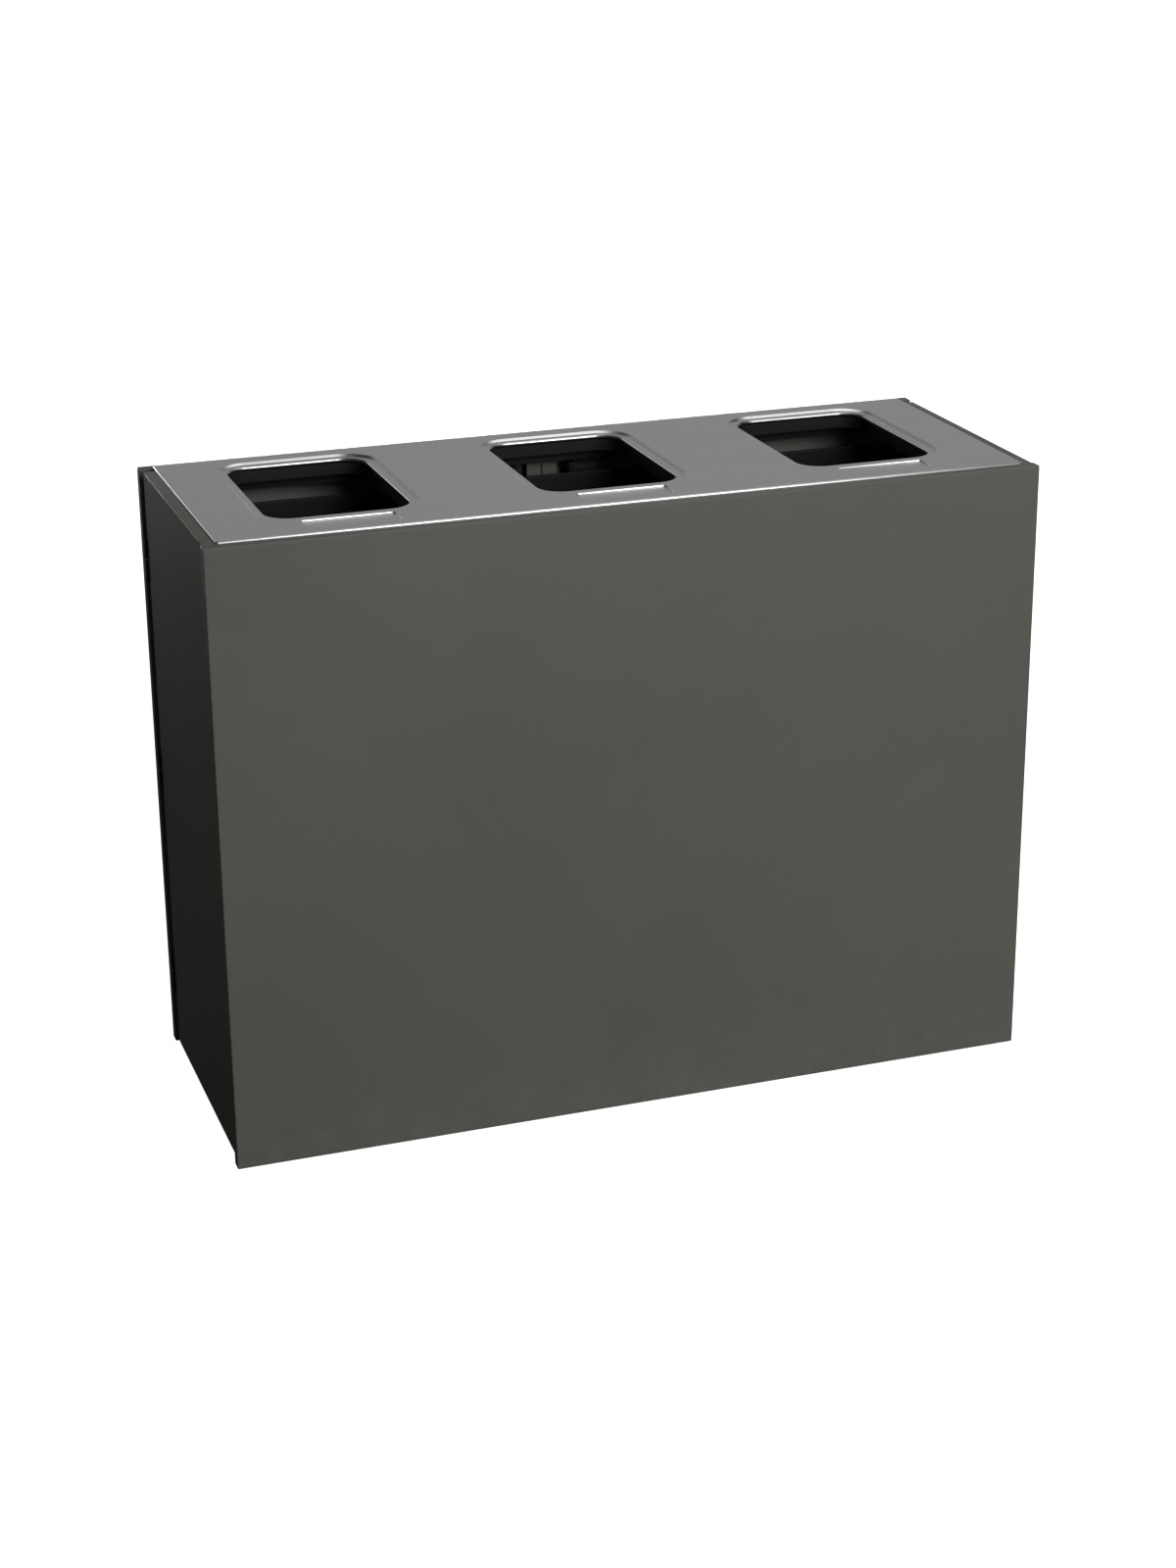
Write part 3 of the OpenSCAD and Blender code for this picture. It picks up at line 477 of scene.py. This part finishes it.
# cabinet skin: front panel, side walls and doors
low, high, middle, size = boxOf("front_panel")
foldedPanel("frontPanelShell", "cabinet", "front_panel", size.x, size.z, size.y,
            columns((1, 0, 0), (0, 0, 1), (0, 1, 0), (middle.x, low.y, middle.z)))
for name, node, outward in (("leftWallShell", "left_side_wall", -1),
                            ("rightWallShell", "right_side_wall", 1)):
    low, high, middle, size = boxOf(node)
    skinX = low.x if outward < 0 else high.x
    foldedPanel(name, "cabinet", node, size.y, size.z, size.x,
                columns((0, 1, 0), (0, 0, 1), (-outward, 0, 0), (skinX, middle.y, middle.z)))
for side, word in ((-1, "left"), (1, "right")):
    low, high, middle, size = boxOf(word + "_door")
    lock = boxOf(word + "_lock_body")[2]
    foldedPanel(word + "DoorShell", word + "_door", word + "_door", size.x, size.z, size.y,
                columns((1, 0, 0), (0, 0, 1), (0, -1, 0), (middle.x, high.y, middle.z)),
                hole=(lock.x - middle.x, lock.z - middle.z, 9.25 * mm))
print("panels made")

# top plate: one pressed sheet with three framed openings and three label recesses
plateForm = {
    "sheet": 1.2 * mm, "corner": 4 * mm, "edgeBend": 2.2 * mm, "support": 2 * mm,
    "frameCorner": 51 * mm, "slope": 5.0 * mm, "drop": 3 * mm, "crest": 2.4 * mm, "foot": 1.4 * mm,
    "frameWidth": 16 * mm, "lipBend": 2.4 * mm, "throat": 6 * mm,
    "label": (130 * mm, 40 * mm), "labelCorner": 3 * mm, "labelDrop": 2 * mm, "labelBend": 0.8 * mm,
}


# section of one press-formed step: crest radius, straight slope, foot radius
def pressedStep(inset, top, run, drop, crest, foot, steps=4):
    slope = math.atan2(drop, run)
    rows = []
    for step in range(steps + 1):
        a = slope * step / steps
        rows.append((inset + crest * math.sin(a), top - crest * (1 - math.cos(a))))
    endInset, endTop = inset + run + crest * math.tan(slope / 2) + foot * math.tan(slope / 2), top - drop
    for step in range(steps, -1, -1):
        a = slope * step / steps
        rows.append((endInset - foot * math.sin(a), endTop + foot * (1 - math.cos(a))))
    return rows


low, high, middle, size = boxOf("top_plate")
chutes = [boxOf(word + "_chute") for word in ("left", "middle", "right")]
f = plateForm
openX = [chute[2].x for chute in chutes]
openY = chutes[0][2].y
frameSize = (2 * f["frameWidth"] + 202 * mm, 2 * f["frameWidth"] + 285 * mm)
labelY = openY - frameSize[1] / 2 - 30 * mm
bm = bmesh.new()
plateSize = (size.x, size.y)
ring = startRing(bm, plateSize, (middle.x, middle.y), f["edgeBend"] + 1.2 * mm, 0.5 * mm, high.z, 6)
flatEdges = list(ring)
rows = [(f["edgeBend"], f["corner"] - f["edgeBend"], high.z)]
edgeTurn = quarter((f["edgeBend"], high.z), (0, high.z - f["edgeBend"]), "first", 5)
rows += [(i, f["corner"] - i, z) for i, z in edgeTurn]
rows += [(0, f["corner"], low.z)]
followSection(bm, ring, plateSize, (middle.x, middle.y), rows)
for x in openX:
    centre = (x, openY)
    ring = startRing(bm, frameSize, centre, -f["support"], f["frameCorner"] + f["support"], high.z, 16)
    flatEdges += ring
    rows = pressedStep(0, high.z, f["slope"], f["drop"], f["crest"], f["foot"])
    throat = f["frameWidth"]
    lipStart, ledgeZ = throat - f["lipBend"], high.z - f["drop"]
    rows += [(lipStart - 0.6 * mm, ledgeZ), (lipStart, ledgeZ)]
    rows += quarter((lipStart, ledgeZ), (throat, ledgeZ - f["lipBend"]), "first", 6)
    rows += [(throat, ledgeZ - f["lipBend"] - 0.6 * mm), (throat, ledgeZ - f["throat"])]
    followSection(bm, ring, frameSize, centre, concentric(rows, f["frameCorner"]))
    centre = (x, labelY)
    ring = startRing(bm, f["label"], centre, -1 * mm, f["labelCorner"] + 1 * mm, high.z, 5)
    flatEdges += ring
    b = f["labelBend"]
    rows = [(0, high.z)] + quarter((0, high.z), (b, high.z - b), "first", 4)
    rows += quarter((b, high.z - f["labelDrop"] + b), (2 * b, high.z - f["labelDrop"]), "second", 4)
    rows += [(2 * b + 1 * mm, high.z - f["labelDrop"])]
    ring = followSection(bm, ring, f["label"], centre, concentric(rows, f["labelCorner"]))
    bmesh.ops.contextual_create(bm, geom=ring)
fillFlat(bm, flatEdges, (0, 0, 1))
faceAlong(bm, (0, 0, 1))
finishPiece(bm, "pressedTopPlate", "stainless", "cabinet", ["top_plate"], sharp=60, wall=f["sheet"])
print("top plate made")

# chutes: flange, bend, wall and a folded hem at the lower edge
chuteForm = {"sheet": 1.5 * mm, "flange": 10 * mm, "bend": 1.2 * mm, "hem": 4 * mm, "corner": 36.5 * mm}
for word, (low, high, middle, size) in zip(("left", "middle", "right"), chutes):
    c = chuteForm
    t, e = c["sheet"], c["flange"]
    outer = c["corner"] + e
    rows = [(0.3 * mm, high.z), (e - c["bend"], high.z)]
    rows += quarter((e - c["bend"], high.z), (e, high.z - c["bend"]), "first")
    rows += [(e, high.z - 4 * mm), (e, low.z + 0.9 * mm)]
    rows += quarter((e, low.z + t), (e - t, low.z), "second", 5)
    rows += quarter((e - t, low.z), (e - 2 * t, low.z + t), "first", 5)
    rows += [(e - 2 * t, low.z + c["hem"] - 0.4 * mm), (e - 2 * t + 0.3 * mm, low.z + c["hem"]),
             (e - t, low.z + c["hem"])]
    rows += [(e - t, high.z - t - 0.6 * mm), (e - t - 0.6 * mm, high.z - t),
             (0.3 * mm, high.z - t), (0, high.z - t + 0.3 * mm)]
    bm = bmesh.new()
    ring = startRing(bm, (size.x, size.y), (middle.x, middle.y), 0, outer, high.z - 0.3 * mm, 12)
    first = list(ring)
    ring = followSection(bm, ring, (size.x, size.y), (middle.x, middle.y), concentric(rows, outer))
    bmesh.ops.bridge_loops(bm, edges=first + ring)
    closeUp(bm)
    # the collars' black paint is painted shade: it darkens them to the shade under the plate's openings
    finishPiece(bm, word + "ChuteCollar", "black_paint", "cabinet", [word + "_chute"], sharp=45)
print("chutes made")

# inner bins: drawn box with a radius round its floor and a rolled rim
binForm = {"wall": 1 * mm, "corner": 30 * mm, "rimOut": 4 * mm, "rimHeight": 6 * mm, "floorBend": 8 * mm}
for word in ("left", "middle", "right"):
    low, high, middle, size = boxOf(word + "_bin")
    b = binForm
    binSize = (size.x, size.y)
    rimOut, wall, bend = b["rimOut"], b["wall"], b["floorBend"]
    outer = b["corner"] + rimOut
    bead = (rimOut + wall) / 2
    rows = []
    rows += quarter((rimOut + wall + bend, low.z + wall), (rimOut + wall, low.z + wall + bend), "first", 6)
    rows += [(rimOut + wall, low.z + 200 * mm), (rimOut + wall, high.z - bead - 1 * mm),
             (rimOut + wall, high.z - bead)]
    rows += quarter((rimOut + wall, high.z - bead), (bead, high.z), "second", 5)
    rows += quarter((bead, high.z), (0, high.z - bead), "first", 5)
    rows += [(0, high.z - b["rimHeight"] + bead)]
    rows += quarter((0, high.z - b["rimHeight"] + bead), (bead, high.z - b["rimHeight"]), "second", 4)
    rows += [(rimOut - 0.4 * mm, high.z - b["rimHeight"]), (rimOut, high.z - b["rimHeight"] - 0.4 * mm)]
    rows += [(rimOut, low.z + 200 * mm), (rimOut, low.z + bend)]
    rows += quarter((rimOut, low.z + bend), (rimOut + bend, low.z), "second", 6)
    rows += [(rimOut + bend + 3 * mm, low.z)]
    bm = bmesh.new()
    start = rimOut + wall + bend + 3 * mm
    ring = startRing(bm, binSize, (middle.x, middle.y), start, outer - start, low.z + wall, 10)
    first = list(ring)
    rows = [(rimOut + wall + bend, low.z + wall)] + rows
    ring = followSection(bm, ring, binSize, (middle.x, middle.y), concentric(rows, outer))
    fillFlat(bm, first, (0, 0, 1))
    fillFlat(bm, ring, (0, 0, -1))
    closeUp(bm)
    # the liners' black paint is painted shade as well as their finish: it darkens them to the shade inside
    # the cabinet
    finishPiece(bm, word + "BinLiner", "black_paint", "cabinet", [word + "_bin"], sharp=50)
print("bins made")

# floor tray as the one folded sheet that its flat pieces stand for
low, high, middle, size = boxOf("base_tray", "tray_edges")
tray = {"sheet": 2 * mm, "bend": 2.5 * mm, "corner": 3 * mm, "support": 3 * mm}
bm = bmesh.new()
ring = startRing(bm, (size.x, size.y), (middle.x, middle.y), tray["bend"] + tray["support"], 1 * mm,
                 high.z, 4)
first = list(ring)
rows = [(tray["bend"], high.z)] + quarter((tray["bend"], high.z), (0, high.z - tray["bend"]), "first")
rows += [(0, high.z - tray["bend"] - 1 * mm), (0, low.z)]
followSection(bm, ring, (size.x, size.y), (middle.x, middle.y), concentric(rows, tray["corner"]))
fillFlat(bm, first, (0, 0, 1))
faceAlong(bm, (0, 0, 1))
finishPiece(bm, "floorTraySheet", "cabinet_paint", "cabinet", ["base_tray", "tray_edges", "tray_ends"],
            wall=tray["sheet"])


# copies of a CAD piece with its sharp edges rounded over
def softened(nodes, name, slot, body, edge, material=None, sharp=32, steps=2):
    bm = bmesh.new()
    for node in nodes:
        bm.from_mesh(frame["nodes"][node].data)
    bmesh.ops.remove_doubles(bm, verts=bm.verts, dist=0.00001)
    bmesh.ops.dissolve_limit(bm, angle_limit=math.radians(1.0), verts=bm.verts, edges=bm.edges)
    keen = [e for e in bm.edges if len(e.link_faces) == 2 and e.calc_face_angle(0) > math.radians(sharp)]
    bmesh.ops.bevel(bm, geom=keen, offset=edge, offset_type="OFFSET", segments=steps, profile=0.5,
                    affect="EDGES", clamp_overlap=True, material=-1)
    return finishPiece(bm, name, slot, body, nodes, material=material, sharp=35)


# the black_paint slot on the rails, partitions, rivets, handle brackets and frame hinge leaves below is
# painted shade: it darkens them to the shade inside the cabinet and in the hinge gaps
softParts = [
    # nodes, name, slot, body, edge radius in mm
    (["front_rail"], "frontRailWeb", "black_paint", "cabinet", 0.2),
    (["rear_rail"], "rearRailWeb", "black_paint", "cabinet", 0.2),
    (["rail_flanges"], "railTopFlanges", "black_paint", "cabinet", 0.2),
    (["rail_tabs"], "railEndTabs", "black_paint", "cabinet", 0.2),
    (["left_partition"], "leftPartitionSheet", "black_paint", "cabinet", 0.3),
    (["right_partition"], "rightPartitionSheet", "black_paint", "cabinet", 0.3),
    (["partition_rivets"], "partitionRivetHeads", "black_paint", "cabinet", 0.8),
    (["bracket_rivets"], "bracketRivetHeads", "black_paint", "cabinet", 0.8),
    (["front_stiffeners"], "frontPanelChannels", "cabinet_paint", "cabinet", 0.35),
    (["foot_pads"], "footRubberPads", "rubber", "cabinet", 1.0),
    (["hinge_pins"], "hingeSteelPins", "stainless", "cabinet", 0.5),
    (["hinge_washers"], "hingeBrassWashers", "brass", "cabinet", 0.15),
    (["bin_guides"], "binGuideAngles", "zinc", "cabinet", 0.4),
    (["handle_brackets"], "handleBracketPlates", "black_paint", "cabinet", 0.35),
    (["hinge_frame_halves"], "hingeFrameLeaves", "black_paint", "cabinet", 0.4),
    (["plate_pads"], "plateCushionRings", "rubber", "cabinet", 0.3),
    (["plate_nuts"], "plateHexNuts", "zinc", "cabinet", 0.35),
    (["panel_nuts"], "panelHexNuts", "zinc", "cabinet", 0.35),
    (["side_nuts"], "sideHexNuts", "zinc", "cabinet", 0.35),
    (["foot_nuts"], "footHexNuts", "zinc", "cabinet", 0.7),
    (["door_buffers"], "doorBufferStops", "rubber", "cabinet", 1.2),
]
for side in ("left", "right"):
    softParts += [
        ([side + "_door_stiffeners"], side + "DoorChannels", "cabinet_paint", side + "_door", 0.35),
        # the door hinge leaves' black paint is painted shade, darkening them to the shade in the hinge gap
        ([side + "_hinge_halves"], side + "HingeLeaves", "black_paint", side + "_door", 0.4),
        ([side + "_lock_body"], side + "LockHousing", "black_paint", side + "_door", 0.6),
        ([side + "_lock_nut"], side + "LockHexNut", "black_paint", side + "_door", 0.6),
        ([side + "_lock_cam"], side + "LockTongue", "black_paint", side + "_lock", 0.5),
        ([side + "_lock_plug"], side + "LockKeyPlug", "stainless", side + "_lock", 0.4),
    ]
for nodes, name, slot, body, edge in softParts:
    softened(nodes, name, slot, body, edge * mm, material=turnedSteel if slot == "stainless" else None)
print("folded and turned parts made:", len(softParts))


# where each loose solid of a CAD node lies
def solidBoxes(node):
    bm = bmesh.new()
    bm.from_mesh(frame["nodes"][node].data)
    bmesh.ops.remove_doubles(bm, verts=bm.verts, dist=0.00001)
    waiting, boxes = set(bm.verts), []
    while waiting:
        reached = [waiting.pop()]
        for vert in reached:
            for edge in vert.link_edges:
                other = edge.other_vert(vert)
                if other in waiting:
                    waiting.discard(other)
                    reached.append(other)
        low = Vector([min(v.co[k] for v in reached) for k in range(3)])
        high = Vector([max(v.co[k] for v in reached) for k in range(3)])
        boxes.append((low, high))
    bm.free()
    return sorted(boxes, key=lambda b: tuple(b[0]))


# turns a chain of radius and height pairs round the Z axis
def turned(bm, profile, segments, matrix):
    chain = [bm.verts.new((radius, 0, height)) for radius, height in profile]
    edges = [bm.edges.new(pair) for pair in zip(chain, chain[1:])]
    spun = bmesh.ops.spin(bm, geom=chain + edges, cent=(0, 0, 0), axis=(0, 0, 1), angle=2 * math.pi,
                          steps=segments, use_merge=True, use_duplicate=False)
    made = {v for v in bm.verts if v.tag is False}
    for vert in made:
        vert.co = matrix @ vert.co
        vert.tag = True
    return made


def pointing(place, direction):
    return Matrix.Translation(place) @ Vector(direction).to_track_quat("Z", "Y").to_matrix().to_4x4()


# button-head screws with a hexagon socket; the top of the head is at height 0
screwForm = {"headHeight": 2.5 * mm, "socket": 3.0 * mm, "socketDepth": 1.4 * mm, "segments": 24}


def screwProfile(headR, shankR, length):
    h = screwForm["headHeight"]
    rows = [(0.62 * headR * math.cos(a) + 0.38 * headR, -h * 0.72 + h * 0.72 * math.sin(a))
            for a in [math.radians(d) for d in (80, 62, 44, 26, 10, 0)]]
    rows = [(0.40 * headR, 0)] + rows
    rows += [(headR, -h + 0.15 * mm), (headR - 0.15 * mm, -h), (shankR, -h), (shankR, -length + 0.5 * mm),
             (shankR - 0.5 * mm, -length), (0.0004 * mm, -length)]
    return rows


def hexSocket(bm, ring, matrix):
    half = screwForm["socket"] / 2
    for down in (0, screwForm["socketDepth"]):
        grown = bmesh.ops.extrude_edge_only(bm, edges=ring)["geom"]
        fresh = {part for part in grown if isinstance(part, bmesh.types.BMVert)}
        ring = [part for part in grown if isinstance(part, bmesh.types.BMEdge)
                and part.verts[0] in fresh and part.verts[1] in fresh]
        for vert in fresh:
            local = matrix.inverted() @ vert.co
            a = math.atan2(local.y, local.x)
            turn = (a + math.pi / 6) % (math.pi / 3) - math.pi / 6
            reach = half / math.cos(turn)
            vert.co = matrix @ Vector((reach * math.cos(a), reach * math.sin(a), -down))
            vert.tag = True
    bmesh.ops.contextual_create(bm, geom=ring)


def screwSet(node, name, slot, body, headwards):
    bm = bmesh.new()
    for low, high in solidBoxes(node):
        middle = (low + high) / 2
        direction = Vector(headwards(middle))
        axis = max(range(3), key=lambda k: abs(direction[k]))
        side = (axis + 1) % 3
        headR, length = (high[side] - low[side]) / 2, high[axis] - low[axis]
        top = middle + direction * length / 2
        shankR = 2.5 * mm if headR > 4.2 * mm else 2.0 * mm
        for vert in bm.verts:
            vert.tag = True
        matrix = pointing(top, direction)
        profile = screwProfile(headR, shankR, length)
        made = turned(bm, profile, screwForm["segments"], matrix)
        inner = [e for v in made for e in v.link_edges if e.is_boundary
                 and abs((matrix.inverted() @ v.co).z) < 0.01 * mm]
        hexSocket(bm, list(set(inner)), matrix)
    closeUp(bm)
    finishPiece(bm, name, slot, body, [node], sharp=35)


screwSet("panel_bolts", "panelSocketScrews", "zinc", "cabinet", lambda p: (0, 1, 0))
screwSet("side_bolts", "sideSocketScrews", "zinc", "cabinet", lambda p: (-math.copysign(1, p.x), 0, 0))
screwSet("hinge_frame_screws", "frameLeafScrews", "zinc", "cabinet", lambda p: (0, 1, 0))
for side in ("left", "right"):
    screwSet(side + "_hinge_screws", side + "DoorLeafScrews", "zinc", side + "_door", lambda p: (0, -1, 0))
    screwSet(side + "_cam_screw", side + "TongueScrew", "black_paint", side + "_lock", lambda p: (0, -1, 0))

# threaded studs: one groove to each pitch between two chamfered ends
studThread = {"pitch": {"foot_studs": 1.5 * mm, "plate_studs": 0.8 * mm}, "depth": 0.55, "segments": 20}
for node, name, slot in (("foot_studs", "footThreadedStuds", "zinc"),
                         ("plate_studs", "plateThreadedStuds", "stainless")):
    bm = bmesh.new()
    pitch = studThread["pitch"][node]
    for low, high in solidBoxes(node):
        radius, length = (high.x - low.x) / 2, high.z - low.z
        root = radius - studThread["depth"] * pitch
        rows = [(0.0004 * mm, 0), (root, 0), (radius - 0.1 * mm, pitch * 0.5)]
        turns = int((length - pitch) / pitch)
        for turn in range(turns):
            z = pitch * (0.5 + turn)
            rows += [(radius, z + 0.08 * pitch), (radius, z + 0.22 * pitch),
                     (root, z + 0.58 * pitch), (root, z + 0.72 * pitch)]
        rows += [(radius, pitch * (0.5 + turns) + 0.08 * pitch), (root, length), (0.0004 * mm, length)]
        for vert in bm.verts:
            vert.tag = True
        foot = Matrix.Translation(((low.x + high.x) / 2, (low.y + high.y) / 2, low.z))
        turned(bm, rows, studThread["segments"], foot)
    closeUp(bm)
    finishPiece(bm, name, slot, "cabinet", [node], sharp=50,
                material=turnedSteel if slot == "stainless" else None)
print("fasteners made")

# drop handles: one bent rod each
handleForm = {"bend": 9 * mm, "end": 14 * mm, "chamfer": 0.8 * mm, "segments": 20, "bendSteps": 8}
for node in [n for n in frame["nodes"] if n.endswith("_handle")]:
    low, high, middle, size = boxOf(node)
    rod, bend = size.x / 2, handleForm["bend"]
    reach = size.y / 2
    pivotZ, half = high.z - rod, reach - handleForm["end"] - bend
    drop = size.z - 2 * rod
    bm = bmesh.new()
    tip = Matrix.Translation((middle.x, middle.y + reach, pivotZ)) @ Matrix.Rotation(math.pi / 2, 4, "X")
    circle = bmesh.ops.create_circle(bm, segments=handleForm["segments"],
                                     radius=rod - handleForm["chamfer"], matrix=tip)
    ring = list({edge for vert in circle["verts"] for edge in vert.link_edges})
    firstRing = list(ring)

    def step(ring, move, grow=0.0):
        grown = bmesh.ops.extrude_edge_only(bm, edges=ring)["geom"]
        fresh = {part for part in grown if isinstance(part, bmesh.types.BMVert)}
        centre = sum((v.co for v in fresh), Vector()) / len(fresh)
        for vert in fresh:
            vert.co += (vert.co - centre).normalized() * grow + Vector(move)
        return [part for part in grown if isinstance(part, bmesh.types.BMEdge)
                and part.verts[0] in fresh and part.verts[1] in fresh]

    def turnBend(ring, y, z, angle):
        geom = ring + list({vert for edge in ring for vert in edge.verts})
        spun = bmesh.ops.spin(bm, geom=geom, cent=(middle.x, middle.y + y, z), axis=(1, 0, 0), angle=angle,
                              steps=handleForm["bendSteps"], use_duplicate=False)
        return [part for part in spun["geom_last"] if isinstance(part, bmesh.types.BMEdge)]

    quarterTurn = math.pi / 2
    ring = step(ring, (0, -handleForm["chamfer"], 0), handleForm["chamfer"])
    ring = step(ring, (0, -(handleForm["end"] - handleForm["chamfer"]), 0))
    ring = turnBend(ring, half + bend, pivotZ - bend, quarterTurn)
    ring = step(ring, (0, 0, -(drop - 2 * bend)))
    ring = turnBend(ring, half - bend, pivotZ - drop + bend, -quarterTurn)
    ring = step(ring, (0, -2 * (half - bend), 0))
    ring = turnBend(ring, bend - half, pivotZ - drop + bend, -quarterTurn)
    ring = step(ring, (0, 0, drop - 2 * bend))
    ring = turnBend(ring, -half - bend, pivotZ - bend, quarterTurn)
    ring = step(ring, (0, -(handleForm["end"] - handleForm["chamfer"]), 0))
    ring = step(ring, (0, -handleForm["chamfer"], 0), -handleForm["chamfer"])
    bmesh.ops.contextual_create(bm, geom=firstRing)
    bmesh.ops.contextual_create(bm, geom=ring)
    closeUp(bm)
    words = node.split("_")
    name = words[0] + "".join(word.title() for word in words[1:]) + "Rod"
    # the handles' black paint is painted shade: it darkens them to the shade inside the cabinet
    finishPiece(bm, name, "black_paint", node, [node], sharp=40)
print("handles made")

# carried-over nodes get their finish
slotOf = {part["node"]: part["material_slot"] for part in frame["record"]["subparts"]}
for node, carried in frame["nodes"].items():
    carried.data.materials.clear()
    carried.data.materials.append(finish[slotOf[node]])

# floor and light
studio = {
    "floorReach": 60.0, "floorColour": 0.80, "floorGlow": 0.97, "floorBounce": 0.08,
    "skyGlow": 0.05,
}
bm = bmesh.new()
bmesh.ops.create_grid(bm, x_segments=1, y_segments=1, size=studio["floorReach"])
floorMesh = bpy.data.meshes.new("studioFloor")
bm.to_mesh(floorMesh)
bm.free()
floor = bpy.data.objects.new("studioFloor", floorMesh)
scene.collection.objects.link(floor)
floorMaterial, tree, shader = newMaterial("paleFloor")
rays = addNode(tree, "ShaderNodeLightPath").outputs["Is Camera Ray"]
pale, dim = [(studio[key],) * 3 + (1,) for key in ("floorColour", "floorBounce")]
glow = (studio["floorGlow"],) * 3 + (1,)
tree.links.new(mixed(tree, rays, dim, pale), shader.inputs["Base Color"])
tree.links.new(mixed(tree, rays, (0, 0, 0, 1), glow), shader.inputs["Emission Color"])
shader.inputs["Emission Strength"].default_value = 1.0
shader.inputs["Roughness"].default_value = 1.0
shader.inputs["Specular IOR Level"].default_value = 0.0
floorMesh.materials.append(floorMaterial)

world = bpy.data.worlds.new("studioWorld")
scene.world = world
world.use_nodes = True
tree = world.node_tree
rays = addNode(tree, "ShaderNodeLightPath").outputs["Is Camera Ray"]
dim = (studio["skyGlow"],) * 3 + (1,)
tree.links.new(mixed(tree, rays, dim, (1.0, 1.0, 1.0, 1)), tree.nodes["Background"].inputs["Color"])


def softbox(name, place, target, size, radiance):
    data = bpy.data.lights.new(name, "AREA")
    data.shape = "RECTANGLE"
    data.size, data.size_y = size
    data.energy = radiance * math.pi * size[0] * size[1]
    lamp = bpy.data.objects.new(name, data)
    lamp.location = place
    lamp.rotation_euler = (Vector(target) - Vector(place)).to_track_quat("-Z", "Y").to_euler()
    scene.collection.objects.link(lamp)
    return lamp


softbox("frontSoftbox", (1.3, -4.8, 2.5), (0, 0, 0.6), (2.4, 4.4), 7.8)
softbox("overheadSoftbox", (0.95, 0.6, 3.6), (0.95, 0.2, 0.9), (1.9, 2.6), 1.9)
softbox("rearCard", (1.2, 6.0, 2.7), (0.3, 0, 0.9), (8.0, 4.0), 0.34)
softbox("rearLeftCard", (-2.4, 6.0, 1.7), (0, 0.1, 0.9), (2.2, 1.6), 1.6)
softbox("rearLowSoftbox", (0.4, 6.5, 0.44), (0.4, 0, 0.44), (6.0, 0.84), 14.0)
softbox("rearSideSoftbox", (5.6, 3.4, 0.9), (0, 0, 0.5), (2.4, 1.4), 9.0)
softbox("frontLeftCard", (-3.4, -5.2, 2.2), (0, 0, 0.9), (3.0, 3.0), 0.16)
scene.view_settings.view_transform = "Standard"
print("light set")
